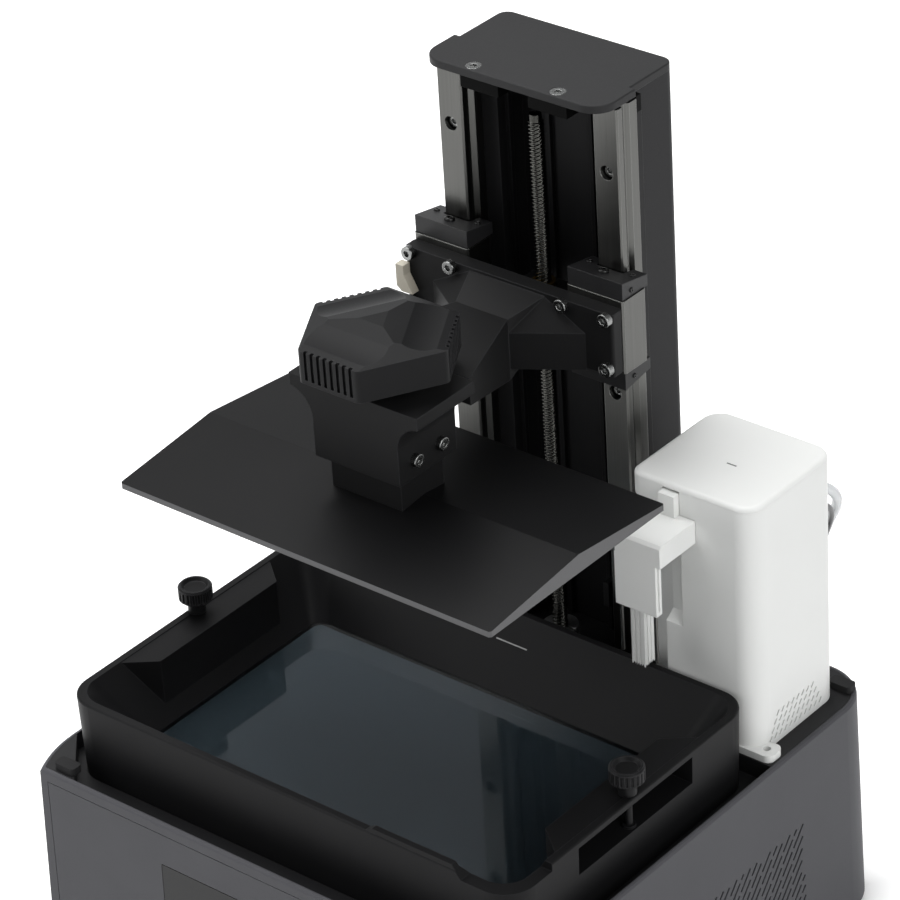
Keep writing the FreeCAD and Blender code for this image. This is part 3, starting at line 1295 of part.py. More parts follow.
def vat_tub():
    """Moulded vat: sloping basin, side ledges with open windows under them and a pouring corner."""
    top = VAT_RIM_Z
    film_top = FILM_Z + FILM_SHEET
    outer = loft(vat_outline(-VAT_DRAFT, DECK_Z), vat_outline(0, top))
    rim_edges = [e for e in outer.Edges if e.BoundBox.ZMin > top - 0.01]
    outer = outer.makeFillet(1.2, rim_edges)
    outer = outer.fuse(pouring_guard())
    lower = rounded_outline(0, PLATE_Y, FILM_LENGTH / 2, FILM_WIDTH / 2, 8, film_top - 0.01)
    upper = rounded_outline(
        0, PLATE_Y, VAT_LENGTH / 2 - VAT_LIP, VAT_WIDTH / 2 - VAT_LIP, VAT_CORNER - VAT_LIP / 2, top + 0.5
    )
    basin = loft(lower, upper)
    half_x = VAT_LENGTH / 2
    ledges = []
    for side in (-1, 1):
        outline = [
            (side * LEDGE_INNER, PLATE_Y - LEDGE_HALF),
            (side * half_x, PLATE_Y - LEDGE_END - 8),
            (side * half_x, PLATE_Y + LEDGE_END + 8),
            (side * LEDGE_INNER, PLATE_Y + LEDGE_HALF),
        ]
        ledges.append(plan_prism(outline, DECK_Z, top - LEDGE_DROP))
    basin = basin.cut(ledges)
    pocket = rounded_slab(
        0, PLATE_Y, FILM_LENGTH / 2 + FRAME_BORDER + SLIDE_GAP, FILM_WIDTH / 2 + FRAME_BORDER + SLIDE_GAP, 5,
        DECK_Z - 1, film_top,
    )
    cuts = [basin, pocket]
    window_top = top - WINDOW_TOP_DROP
    window_bottom = window_top - WINDOW_HEIGHT
    for side in (-1, 1):
        x0, x1 = sorted((side * (LEDGE_INNER + WINDOW_WALL), side * (half_x + 5)))
        window = box(x0, x1, PLATE_Y - WINDOW_HALF, PLATE_Y + WINDOW_HALF, window_bottom, window_top)
        cuts.append(window.cut(rod(side * THUMB_X, PLATE_Y, window_bottom - 1, THUMB_SHANK + 1.4, 2.2)))
        cuts.append(rod(side * THUMB_X, PLATE_Y, DECK_Z - 1, THUMB_SHANK + RUNNING_FIT, 80))
    corner_x, corner_y = half_x, PLATE_Y - VAT_WIDTH / 2
    spout = front_prism(
        [
            (corner_x - SPOUT_LENGTH - 3, top + 5), (corner_x - SPOUT_LENGTH + SPOUT_DROP, top - SPOUT_DROP),
            (corner_x + 5, top - SPOUT_DROP), (corner_x + 5, top + 5),
        ],
        corner_y - 5,
        corner_y + SPOUT_WIDTH,
    )
    cuts.append(spout)
    return outer.cut(cuts).removeSplitter()


def film_frame():
    """Clamp frame that stretches the film under the vat."""
    half_x, half_y = FILM_LENGTH / 2, FILM_WIDTH / 2
    border = FRAME_BORDER
    ring = rounded_slab(0, PLATE_Y, half_x + border, half_y + border, 5, DECK_Z + SLIDE_GAP, FILM_Z)
    return ring.cut(rounded_slab(0, PLATE_Y, half_x, half_y, 8, DECK_Z - 1, FILM_Z + 1))


def release_film():
    """Clear release film, clamped between the frame and the vat."""
    half_x, half_y = FILM_LENGTH / 2 + FRAME_BORDER - 1, FILM_WIDTH / 2 + FRAME_BORDER - 1
    return rounded_slab(0, PLATE_Y, half_x, half_y, 5, FILM_Z, FILM_Z + FILM_SHEET)


def thumb_screw(side):
    """Ribbed thumb screw with a dished top and a neck, on a shank down through the vat into the deck."""
    z0 = VAT_RIM_Z + SLIDE_GAP
    head = rod(0, 0, 0, THUMB_RADIUS, THUMB_HEIGHT)
    head = head.makeChamfer(0.9, [head.Edges[0], head.Edges[2]])
    dish = Part.makeCone(THUMB_RADIUS - 3.2, THUMB_RADIUS - 1.6, 1.8, Vector(0, 0, THUMB_HEIGHT - 1.7))
    grooves = [dish]
    for k in range(THUMB_RIBS):
        angle = math.radians(360.0 * k / THUMB_RIBS)
        x, y = THUMB_RADIUS * math.cos(angle), THUMB_RADIUS * math.sin(angle)
        grooves.append(rod(x, y, 1.3, 0.7, THUMB_HEIGHT - 2.8))
    head = placed(head.cut(grooves), 0, 0, THUMB_RISE)
    neck = rod(0, 0, 0, THUMB_NECK, THUMB_RISE + 0.5)
    shank_end = DECK_Z - DECK_SHEET + 0.5 - z0
    shank = rod(0, 0, shank_end, THUMB_SHANK, 1 - shank_end)
    return placed(head.multiFuse([neck, shank]).removeSplitter(), side * THUMB_X, PLATE_Y, z0)


def feeder_plan(grow, z0, z1):
    """Upright block in the plan shape of the feeder."""
    middle_x, middle_y = (FEEDER_LEFT + FEEDER_RIGHT) / 2, PLATE_Y + (FEEDER_FRONT + FEEDER_BACK) / 2
    half_x, half_y = (FEEDER_RIGHT - FEEDER_LEFT) / 2 + grow, (FEEDER_BACK - FEEDER_FRONT) / 2 + grow
    corner, front_left = FEEDER_CORNER + grow, FEEDER_FRONT_CORNER + grow
    outline = rounded_outline(middle_x, middle_y, half_x, half_y, corner, z0, front_left)
    return Part.Face(outline).extrude(Vector(0, 0, z1 - z0))


def feeder_notch(grow, z0, z1):
    """Cut-back front corner beside the nozzle head."""
    front = PLATE_Y + FEEDER_FRONT
    return box(
        FEEDER_LEFT - 5, FEEDER_LEFT + NOTCH_WIDTH + grow, front - 5, front + NOTCH_DEPTH + grow, z0, z1
    )


def feeder_housing():
    """White box: thin walls, a cut-back corner, a guide for the nozzle head and a screw ear."""
    z0, z1 = RIM_Z, FEEDER_TOP - FEEDER_LID
    wall = FEEDER_WALL
    front, back = PLATE_Y + FEEDER_FRONT, PLATE_Y + FEEDER_BACK
    outer = feeder_plan(0, z0, z1).cut(feeder_notch(0, z0 - 1, z1 + 1))
    hollow = feeder_plan(-wall, z0 + wall, z1 + 1).cut(feeder_notch(wall, z0, z1 + 2))
    guide_x0, guide_x1 = guide_left(), guide_left() + GUIDE_WIDTH
    guide_z0, guide_y1 = FEEDER_TOP - GUIDE_FALL, front + GUIDE_DEPTH
    guide_block = box(guide_x0, guide_x1 + wall, front + wall / 2, guide_y1 + wall, guide_z0 - wall, z1)
    guide = side_prism(
        [(front - 1, guide_z0), (guide_y1, guide_z0 + 5), (guide_y1, z1 + 1), (front - 1, z1 + 1)],
        guide_x0 - 5, guide_x1,
    )
    ear = rounded_slab(
        (FEEDER_RIGHT + EAR_HOLE_X + EAR_HALF) / 2 - 8, PLATE_Y + EAR_HOLE_Y,
        (EAR_HOLE_X + EAR_HALF - FEEDER_RIGHT) / 2 + 8, EAR_HALF, 4, z0, z0 + EAR_SHEET,
    )
    ear_hole = rod(EAR_HOLE_X, PLATE_Y + EAR_HOLE_Y, z0 - 1, EAR_HOLE_RADIUS, EAR_SHEET + 2)
    ports = []
    for drop, radius in ((HOSE_DROP, HOSE_RADIUS + 1.6), (LEAD_DROP, LEAD_RADIUS + 1.6)):
        ports.append(rod(PORT_X, back - 6, FEEDER_TOP - drop, radius, 12, Vector(0, 1, 0)))
    body = outer.cut(hollow).multiFuse([guide_block, ear]).cut([guide, ear_hole] + ports)
    return body.cut(feeder_vents()).removeSplitter()


def guide_left():
    """Left side of the nozzle head's guide, at the cut-back corner."""
    return FEEDER_LEFT + NOTCH_WIDTH


def feeder_vents():
    """Small slanted slots low on the right side."""
    slots = []
    slot = box(FEEDER_RIGHT - 6, FEEDER_RIGHT + 2, -0.6, 0.6, -1.6, 1.6)
    for row in range(4):
        for column in range(11 - row):
            y = PLATE_Y + FEEDER_FRONT + 12 + 4.2 * column + 2.1 * row
            slots.append(placed(slot, 0, y, RIM_Z + 4.5 + 4.2 * row, Vector(1, 0, 0), -40))
    return slots


def feeder_lid():
    """Thin top plate with a soft edge, and a thick overhang over the cut-back corner."""
    z0 = FEEDER_TOP - FEEDER_LID
    lid = feeder_plan(0, z0, FEEDER_TOP)
    lid = lid.makeFillet(FEEDER_TOP_ROUND, [e for e in lid.Edges if e.BoundBox.ZMin > FEEDER_TOP - 0.01])
    front = PLATE_Y + FEEDER_FRONT
    overhang = feeder_plan(0, FEEDER_TOP - OVERHANG, z0 + 0.5)
    overhang = overhang.common(feeder_notch(-SLIDE_GAP / 2, FEEDER_TOP - OVERHANG, z0 + 0.5))
    rim = feeder_plan(-FEEDER_WALL - SEAM / 2, z0 - 3, z0 + 0.5)
    rim = rim.cut(feeder_notch(FEEDER_WALL + SEAM / 2, z0 - 4, z0 + 2))
    clear = GUIDE_WIDTH + FEEDER_WALL + SEAM
    guide_y1 = front + GUIDE_DEPTH + 2 * FEEDER_WALL
    guide_room = box(guide_left() - 5, guide_left() + clear, front - 1, guide_y1, z0 - 4, z0)
    return lid.multiFuse([overhang, rim.cut(guide_room)]).removeSplitter()


def feeder_pump():
    """Peristaltic pump inside the feeder: motor, head and roller housing."""
    x = (FEEDER_LEFT + FEEDER_RIGHT) / 2 + 6
    y = PLATE_Y + (FEEDER_FRONT + FEEDER_BACK) / 2 + 6
    z0 = RIM_Z + FEEDER_WALL
    motor = rod(x, y, z0, 14, 48)
    head = rod(x, y, z0 + 48, 21, 22)
    foot = box(x - 17, x + 17, y - 17, y + 17, z0, z0 + 3)
    return motor.multiFuse([head, foot]).removeSplitter()


def port_plate():
    """Rear ports of the feeder: a sleeve for the hose and one for the lead, on one plate."""
    back = PLATE_Y + FEEDER_BACK
    inner = back - FEEDER_WALL
    z_hose, z_lead = FEEDER_TOP - HOSE_DROP, FEEDER_TOP - LEAD_DROP
    depth = Vector(0, 1, 0)
    plate = box(PORT_X - 8, PORT_X + 8, inner - 2, inner, z_lead - 6, z_hose + 7)
    sleeves = []
    bores = []
    for z, radius in ((z_hose, HOSE_RADIUS), (z_lead, LEAD_RADIUS)):
        sleeve = rod(PORT_X, inner - 1, z, radius + 1.5, FEEDER_WALL + 1, depth)
        cone = Part.makeCone(radius + 1.5, radius + 0.8, PORT_REACH, Vector(PORT_X, back, z), depth)
        sleeves.extend([sleeve, cone])
        bores.append(rod(PORT_X, back, z, radius + RUNNING_FIT, PORT_REACH + 1, depth))
    return plate.multiFuse(sleeves).cut(bores).removeSplitter()


def nozzle_head():
    """White head that drops into the feeder's guide: a bar over the vat and a thin front face."""
    top = FEEDER_TOP - HEAD_TOP_DROP
    face = PLATE_Y + FEEDER_FRONT
    front = PLATE_Y + HEAD_FRONT
    bar = box(HEAD_LEFT + 0.5, HEAD_RIGHT, front, face - SLIDE_GAP, top - HEAD_BAR, top)
    edge = [e for e in bar.Edges if e.BoundBox.YMax < front + 0.01 and e.BoundBox.ZMin > top - 0.01]
    bar = bar.makeChamfer(1.6, edge)
    lower = box(HEAD_LEFT, HEAD_RIGHT - 3, front, front + HEAD_FACE, top - HEAD_HEIGHT, top - HEAD_BAR + 1)
    groove_y = front + HEAD_FACE / 2
    lower = lower.cut(
        box(
            HEAD_RIGHT - 4, HEAD_RIGHT, groove_y - 0.6, groove_y + 0.6,
            top - HEAD_HEIGHT + 2, top - HEAD_BAR - 1,
        )
    )
    key_x0, key_x1 = guide_left() + SLIDE_GAP, guide_left() + GUIDE_WIDTH - SLIDE_GAP
    key = box(
        key_x0, key_x1, face - 4, face + GUIDE_DEPTH - SLIDE_GAP,
        top - HEAD_BAR, FEEDER_TOP - FEEDER_LID - 4 * SLIDE_GAP,
    )
    half_tube = SPOUT_TUBE_SIDE / 2
    tube_y = front + HEAD_FACE + half_tube
    seat = box(
        SPOUT_TUBE_X - half_tube - 1, SPOUT_TUBE_X + half_tube + 1, front + 1, tube_y + half_tube + 1,
        top - HEAD_HEIGHT + 6, top - HEAD_BAR + 1,
    )
    return bar.multiFuse([lower, key, seat]).removeSplitter()


def nozzle_pipe():
    """Fluted square feed tube under the head, with a toothed mouth."""
    top = FEEDER_TOP - HEAD_TOP_DROP - HEAD_HEIGHT + 6
    half = SPOUT_TUBE_SIDE / 2
    x, y = SPOUT_TUBE_X, PLATE_Y + HEAD_FRONT + HEAD_FACE + half
    low = top - 6 - SPOUT_TUBE_LENGTH
    tube = box(x - half, x + half, y - half + SLIDE_GAP, y + half, low, top)
    cuts = [box(x - half + 1.6, x + half - 1.6, y - half + 2, y + half - 1.6, low - 1, top - 2)]
    for k in (-1, 0, 1):
        offset = k * SPOUT_TUBE_SIDE / 3
        notch = [(-0.9, low - 0.1), (0, low + 1.6), (0.9, low - 0.1)]
        cuts.append(front_prism([(x + offset + a, b) for a, b in notch], y - half - 1, y + half + 1))
        cuts.append(side_prism([(y + offset + a, b) for a, b in notch], x - half - 1, x + half + 1))
    for offset in (-SPOUT_TUBE_SIDE / 6, SPOUT_TUBE_SIDE / 6):
        cuts.append(box(x + half - 0.5, x + half + 1, y + offset - 0.5, y + offset + 0.5, low - 1, top - 7))
        cuts.append(box(x + offset - 0.5, x + offset + 0.5, y - half - 1, y - half + 0.8, low - 1, top - 7))
    return tube.cut(cuts)


def level_probes():
    """Two thin steel rods that sense the resin level."""
    top = FEEDER_TOP - HEAD_TOP_DROP - HEAD_HEIGHT
    y = PLATE_Y + HEAD_FRONT + HEAD_FACE / 2
    rods = []
    for x in (PROBE_X, PROBE_X + PROBE_GAP):
        bar = rod(x, y, top - PROBE_LENGTH, PROBE_RADIUS, PROBE_LENGTH)
        tip = [e for e in bar.Edges if e.BoundBox.ZMax < top - PROBE_LENGTH + 0.01]
        rods.append(bar.makeChamfer(0.3, tip))
    return group(rods)


def rounded_path(points):
    """Route of straight runs joined by the largest arcs that the runs allow, with its arc radii."""
    edges = []
    radii = []
    start = points[0]
    for before, corner, after in zip(points, points[1:], points[2:]):
        into, out = corner - before, after - corner
        shorter = min(into.Length, out.Length)
        turn = into.getAngle(out)
        reach = 0.45 * shorter
        radii.append(reach / math.tan(turn / 2))
        into.normalize()
        out.normalize()
        first, last = corner - into * reach, corner + out * reach
        inward = (out - into).normalize()
        bow = radii[-1] * (1 / math.cos(turn / 2) - 1)
        edges.append(Part.LineSegment(start, first).toShape())
        edges.append(Part.Arc(first, corner + inward * bow, last).toShape())
        start = last
    edges.append(Part.LineSegment(start, points[-1]).toShape())
    return Part.Wire(edges), radii


def cord(name, points, radius, bore=0):
    """Tube along a route, checked against its section times its length."""
    path, radii = rounded_path(points)
    along = points[1] - points[0]
    ring = Part.Wire([Part.Circle(points[0], along, radius).toShape()])
    tube = path.makePipeShell([ring], True, False)
    ideal = math.pi * radius ** 2 * path.Length
    print(name, "length", round(path.Length, 1), "radii", [round(r, 1) for r in radii])
    print(name, "volume against section times length", round(tube.Volume / ideal, 4))
    return tube


def hose_points():
    """Route of the feed hose: out of the feeder, down behind the base and along the table."""
    back, high = PLATE_Y + FEEDER_BACK, FEEDER_TOP - HOSE_DROP
    behind = BASE_DEPTH / 2
    chosen = [
        (PORT_X, back + 1, high),
        (PORT_X, back + 19.5, high),
        (PORT_X - 0.2, back + 35.5, high - 11.5),
        (PORT_X - 4.5, back + 46, high - 26),
        (PORT_X - 15, behind + 34, high - 43),
        (PORT_X - 24.5, behind + 38.5, high - 65),
        (PORT_X - 29, behind + 41, high - 90),
        (PORT_X - 31, behind + 41.5, high - 118),
        (PORT_X - 31.5, behind + 40, high - 147),
        (PORT_X - 34, behind + 38, high - 175),
        (PORT_X - 40.5, behind + 37, high - 198),
        (PORT_X - 51.5, behind + 38, 15.5),
        (PORT_X - 68, behind + 39.5, 5.6),
        (PORT_X - 89, behind + 40, HOSE_RADIUS + 0.1),
        (PORT_X - 115, behind + 38, HOSE_RADIUS + 0.1),
        (PORT_X - 139, behind + 33, STRAINER_RADIUS + 0.3),
    ]
    return [Vector(*point) for point in chosen]


def lead_points():
    """Route of the signal lead: out of the feeder and down into the socket in the back wall."""
    back, high = PLATE_Y + FEEDER_BACK, FEEDER_TOP - LEAD_DROP
    behind, level = BASE_DEPTH / 2, socket_level()
    chosen = [
        (PORT_X, back + 1, high),
        (PORT_X, back + 16.5, high),
        (PORT_X - 0.6, back + 31, high - 10.5),
        (PORT_X - 4.5, back + 41, high - 22.5),
        (PORT_X - 12, behind + 28.5, high - 37.5),
        (PORT_X - 20, behind + 32, high - 56.5),
        (PORT_X - 27, behind + 34.5, high - 79.5),
        (SOCKET_X + 8, behind + 36.5, level + 48),
        (SOCKET_X + 3.1, behind + 37.6, level + 30),
        (SOCKET_X + 1.3, behind + 37.5, level + 16.5),
        (SOCKET_X, behind + 31.5, level),
        (SOCKET_X, rear_wall(level) + PLUG_LENGTH - 0.7, level),
    ]
    return [Vector(*point) for point in chosen]


def feeder_hose():
    """Clear hose that draws resin from the bottle."""
    return cord("feeder_hose", hose_points(), HOSE_RADIUS)


def feeder_lead():
    """Thin lead between the feeder and the base."""
    return cord("feeder_lead", lead_points(), LEAD_RADIUS)


def intake_strainer():
    """Weighted strainer at the end of the hose, with a ring of slots."""
    before, end = hose_points()[-2:]
    along = (end - before).normalize()
    collar = Part.makeCone(HOSE_RADIUS + 1.2, STRAINER_RADIUS, 4, end, along)
    body = Part.makeCylinder(STRAINER_RADIUS, STRAINER_LENGTH - 4, end + along * 4, along)
    tip = Part.makeCone(STRAINER_RADIUS, STRAINER_RADIUS - 1.5, 2, end + along * STRAINER_LENGTH, along)
    grooves = []
    for k in range(4):
        start = end + along * (6 + 3 * k)
        ring = Part.makeCylinder(STRAINER_RADIUS + 1, 1.2, start, along)
        grooves.append(ring.cut(Part.makeCylinder(STRAINER_RADIUS - 0.6, 1.2, start, along)))
    return collar.multiFuse([body, tip]).cut(grooves).removeSplitter()


def lead_plug():
    """Plug on the lead, in the socket of the back wall, with a tapered sleeve."""
    before, end = lead_points()[-2:]
    out = Vector(0, 1, 0)
    level = socket_level()
    y0 = rear_wall(level) + 0.3 - 8.5
    pin = rod(SOCKET_X, y0, level, PLUG_RADIUS, 8.5, out)
    grip = rod(SOCKET_X, y0 + 8.5 + SLIDE_GAP, level, PLUG_RADIUS + 1.4, 8, out)
    neck = rod(SOCKET_X, y0 + 8, level, PLUG_RADIUS, 2, out)
    sleeve = Part.makeCone(PLUG_RADIUS, LEAD_RADIUS + 0.7, 7.2, Vector(SOCKET_X, y0 + 16.3, level), out)
    return pin.multiFuse([grip, neck, sleeve]).removeSplitter()


NODES = {
    "base_shell": base_shell,
    "front_panel": front_panel,
    "touch_screen": touch_screen,
    "top_deck": top_deck,
    "lid_pads": lid_pads,
    "bottom_plate": bottom_plate,
    "rubber_feet": rubber_feet,
    "lcd_panel": lcd_panel,
    "lcd_frame": lcd_frame,
    "light_box": light_box,
    "fresnel_lens": fresnel_lens,
    "led_array": led_array,
    "led_heatsink": led_heatsink,
    "fan_frame": fan_frame,
    "fan_rotor": fan_rotor,
    "main_board": main_board,
    "power_inlet": power_inlet,
    "rocker_housing": rocker_housing,
    "power_rocker": power_rocker,
    "feeder_socket": feeder_socket,
    "tower_column": tower_column,
    "rear_cover": rear_cover,
    "top_cap": top_cap,
    "tower_screws": tower_screws,
    "rail_left": lambda: rail(-RAIL_X),
    "rail_right": lambda: rail(RAIL_X),
    "z_motor": z_motor,
    "motor_mount": motor_mount,
    "z_endstop": z_endstop,
    "lead_screw": lead_screw,
    "motor_coupler": motor_coupler,
    "carriage_left": lambda: carriage_block(-1),
    "carriage_right": lambda: carriage_block(1),
    "carriage_end_caps": carriage_end_caps,
    "arm": arm,
    "arm_screws": arm_screws,
    "sensor_block": sensor_block,
    "lead_nut": lead_nut,
    "endstop_flag": endstop_flag,
    "platform_bracket": platform_bracket,
    "platform_stub": platform_stub,
    "build_plate": build_plate,
    "leveling_screws": leveling_screws,
    "clamp_knob": clamp_knob,
    "vat_tub": vat_tub,
    "film_frame": film_frame,
    "release_film": release_film,
    "thumb_screw_left": lambda: thumb_screw(-1),
    "thumb_screw_right": lambda: thumb_screw(1),
    "feeder_housing": feeder_housing,
    "feeder_lid": feeder_lid,
    "feeder_pump": feeder_pump,
    "port_plate": port_plate,
    "nozzle_head": nozzle_head,
    "nozzle_pipe": nozzle_pipe,
    "level_probes": level_probes,
    "feeder_hose": feeder_hose,
    "intake_strainer": intake_strainer,
    "feeder_lead": feeder_lead,
    "lead_plug": lead_plug,
}

os.makedirs("parts", exist_ok=True)
for name, make in NODES.items():
    shape = make()
    assert shape.isValid() and shape.Solids, name
    shape.exportStep("parts/" + name + ".step")
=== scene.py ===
import math

import bpy
from mathutils import Matrix, Vector


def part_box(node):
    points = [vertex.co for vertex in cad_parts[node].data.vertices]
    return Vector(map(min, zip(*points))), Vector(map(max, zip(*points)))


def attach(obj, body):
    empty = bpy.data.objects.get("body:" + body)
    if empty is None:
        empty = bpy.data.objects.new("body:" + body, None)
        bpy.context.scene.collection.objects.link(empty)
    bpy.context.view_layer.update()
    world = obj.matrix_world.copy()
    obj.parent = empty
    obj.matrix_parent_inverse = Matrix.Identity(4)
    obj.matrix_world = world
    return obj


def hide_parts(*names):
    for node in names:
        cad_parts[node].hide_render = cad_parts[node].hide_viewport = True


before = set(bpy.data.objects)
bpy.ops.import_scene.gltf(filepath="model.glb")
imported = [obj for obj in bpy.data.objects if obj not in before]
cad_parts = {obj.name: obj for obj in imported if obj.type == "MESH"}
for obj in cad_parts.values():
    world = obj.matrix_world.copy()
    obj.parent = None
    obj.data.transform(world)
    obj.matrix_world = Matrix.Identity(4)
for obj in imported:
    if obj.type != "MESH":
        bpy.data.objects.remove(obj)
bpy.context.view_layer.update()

# Base housing: one deep ABS moulding with drafted walls, a fine spark-eroded
# texture and a softly rounded rim. Its side vent and rear cut-outs are moulded in.


def linear(code):
    parts = [int(code[i:i + 2], 16) / 255 for i in (1, 3, 5)]
    return tuple(p / 12.92 if p <= 0.04045 else ((p + 0.055) / 1.055) ** 2.4 for p in parts) + (1.0,)


def add(tree, kind, links=None, **settings):
    made = tree.nodes.new(kind)
    for key, value in settings.items():
        setattr(made, key, value)
    for key, value in (links or {}).items():
        if isinstance(value, bpy.types.NodeSocket):
            tree.links.new(value, made.inputs[key])
        else:
            made.inputs[key].default_value = value
    return made


def new_finish(name):
    made = bpy.data.materials.new(name)
    made.use_nodes = True
    return made, made.node_tree, made.node_tree.nodes["Principled BSDF"]


def wear(finish, *names):
    for name in names:
        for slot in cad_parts[name].material_slots:
            slot.material = finish


# A moulded thermoplastic gives the eye a fine even grain from the tool, a faint
# cloud of colour about 36 mm wide and rounded edges painted paler, partly as wear
# from handling and partly as a painted highlight. The grain is drawn at 0.4 to 1.2 mm,
# coarser than the real 0.1 mm, so that it shows.
def moulded(name, colour, edge, rough, grain_mm, depth_mm, specular=0.4, ior=1.52):
    cloud_mm, edge_mm, rough_swing = 36.0, 0.5, 0.07
    made, tree, shader = new_finish(name)
    place = add(tree, "ShaderNodeTexCoord").outputs["Object"]
    cloud = add(tree, "ShaderNodeTexNoise", {"Vector": place, "Scale": 1000.0 / cloud_mm, "Detail": 3.0})
    grain = add(tree, "ShaderNodeTexNoise", {"Vector": place, "Scale": 1000.0 / grain_mm, "Detail": 2.0})
    soft = add(tree, "ShaderNodeBevel", {"Radius": edge_mm / 1000.0}, samples=4)
    bump = add(tree, "ShaderNodeBump", {"Height": grain.outputs["Fac"], "Strength": 0.35,
                                        "Distance": depth_mm / 1000.0, "Normal": soft.outputs["Normal"]})
    flat = add(tree, "ShaderNodeNewGeometry").outputs["Normal"]
    turn = add(tree, "ShaderNodeVectorMath", {0: soft.outputs["Normal"], 1: flat}, operation="DOT_PRODUCT")
    rim = add(tree, "ShaderNodeMapRange", {"Value": turn.outputs["Value"], "From Min": 0.995,
                                           "From Max": 0.90, "To Min": 0.0, "To Max": 0.6})
    tone = add(tree, "ShaderNodeMix", {0: cloud.outputs["Fac"], 6: linear(colour[0]), 7: linear(colour[1])},
               data_type="RGBA")
    # Paler edges: handling wear and a painted highlight along them.
    wear_and_highlight = add(tree, "ShaderNodeMix", {0: rim.outputs["Result"], 6: tone.outputs[2], 7: linear(edge)},
               data_type="RGBA")
    sheen = add(tree, "ShaderNodeMapRange", {"Value": grain.outputs["Fac"], "To Min": rough - rough_swing,
                                             "To Max": rough + rough_swing})
    tree.links.new(wear_and_highlight.outputs[2], shader.inputs["Base Color"])
    tree.links.new(sheen.outputs["Result"], shader.inputs["Roughness"])
    tree.links.new(bump.outputs["Normal"], shader.inputs["Normal"])
    shader.inputs["IOR"].default_value = ior
    shader.inputs["Specular IOR Level"].default_value = specular
    return made


# Spark-eroded ABS: a dull even grey with a soft scattered sheen and no clear image.
grey_housing = moulded("grey_spark_eroded_abs", ("#3f3f43", "#47474b"), "#626266",
                       rough=0.58, grain_mm=0.55, depth_mm=0.05, specular=0.3)
wear(grey_housing, "base_shell", "front_panel")

# Floor sheet and feet: a folded steel sheet with a dark powder coat closes the
# base from below, and four soft rubber feet are pressed into it.
# Powder coat: a near-black skin with a slight orange peel about 0.9 mm across.
powder_coat = moulded("dark_powder_coat", ("#1f1f20", "#252526"), "#3a3a3b",
                      rough=0.62, grain_mm=0.9, depth_mm=0.06, specular=0.3)
wear(powder_coat, "bottom_plate", "motor_mount")
# Soft rubber: black and quite dull, with only a broad grey sheen.
foot_rubber = moulded("soft_rubber", ("#1b1b1c", "#222223"), "#2c2c2d",
                      rough=0.82, grain_mm=0.7, depth_mm=0.03, specular=0.3, ior=1.5)
wear(foot_rubber, "rubber_feet", "lid_pads")

# Touch screen: black cover glass bonded over a display, flush in the front
# panel. It is polished, with only faint smears left by fingers.
# Cover glass: deep black under one sharp reflection, softened by smears of about 18 mm.
touch_glass, tree, shader = new_finish("black_cover_glass")
place = add(tree, "ShaderNodeTexCoord").outputs["Object"]
smear_mm = 18.0
smear = add(tree, "ShaderNodeTexNoise", {"Vector": place, "Scale": 1000.0 / smear_mm, "Detail": 5.0,
                                         "Distortion": 0.7})
film_of_touch = add(tree, "ShaderNodeMapRange", {"Value": smear.outputs["Fac"], "From Min": 0.45,
                                                 "From Max": 0.75, "To Min": 0.05, "To Max": 0.16})
tree.links.new(film_of_touch.outputs["Result"], shader.inputs["Roughness"])
shader.inputs["Base Color"].default_value = linear("#0e0e10")
shader.inputs["IOR"].default_value = 1.5
shader.inputs["Specular IOR Level"].default_value = 0.25
wear(touch_glass, "touch_screen")

# Deck: a satin black ABS moulding that drops into the housing's rim, with a
# flat shelf, raised corners and the opening for the screen glass.
# Satin ABS: black with a soft highlight along its rounded edges.
black_abs = moulded("satin_black_abs", ("#19191a", "#1d1d1f"), "#323234",
                    rough=0.48, grain_mm=0.6, depth_mm=0.035, specular=0.22)
wear(black_abs, "top_deck", "lcd_frame", "fan_frame", "fan_rotor", "rocker_housing", "power_rocker",
     "power_inlet", "feeder_socket")

# Screen glass: the masking display under the vat, a slab of polished glass over
# black cells, dark blue grey where light falls into it.
# Display glass: a blue-grey depth that clouds slowly over about 110 mm, and a clear
# mirror image of what stands above it.
mask_glass, tree, shader = new_finish("mask_display_glass")
place = add(tree, "ShaderNodeTexCoord").outputs["Object"]
haze_mm = 110.0
haze = add(tree, "ShaderNodeTexNoise", {"Vector": place, "Scale": 1000.0 / haze_mm, "Detail": 2.0})
tint = add(tree, "ShaderNodeMix", {0: haze.outputs["Fac"], 6: linear("#3d4447"), 7: linear("#4b5255")},
           data_type="RGBA")
tree.links.new(tint.outputs[2], shader.inputs["Base Color"])
shader.inputs["Roughness"].default_value = 0.06
shader.inputs["IOR"].default_value = 1.5
shader.inputs["Specular IOR Level"].default_value = 0.26
wear(mask_glass, "lcd_panel")

# Light engine: a white reflector box, a pressed acrylic lens, the lamp board on
# its finned extruded heatsink, and the control board beside them.
# Reflector polycarbonate: bright white and evenly scattering.
reflector = moulded("white_reflector_pc", ("#d9dad8", "#e2e3e1"), "#f0f0ee",
                    rough=0.5, grain_mm=0.8, depth_mm=0.03)
wear(reflector, "light_box")
# Pressed acrylic: clear, with rings about 2 mm apart, coarser than the real 0.5 mm.
lens_acrylic, tree, shader = new_finish("pressed_acrylic")
place = add(tree, "ShaderNodeTexCoord").outputs["Object"]
ring_scale = 160.0
rings = add(tree, "ShaderNodeTexWave", {"Vector": place, "Scale": ring_scale}, wave_type="RINGS",
            rings_direction="Z")
groove = add(tree, "ShaderNodeBump", {"Height": rings.outputs["Fac"], "Strength": 0.4, "Distance": 0.0003})
tree.links.new(groove.outputs["Normal"], shader.inputs["Normal"])
shader.inputs["Base Color"].default_value = linear("#eef1f2")
shader.inputs["Roughness"].default_value = 0.06
shader.inputs["IOR"].default_value = 1.49
shader.inputs["Transmission Weight"].default_value = 0.9
wear(lens_acrylic, "fresnel_lens")
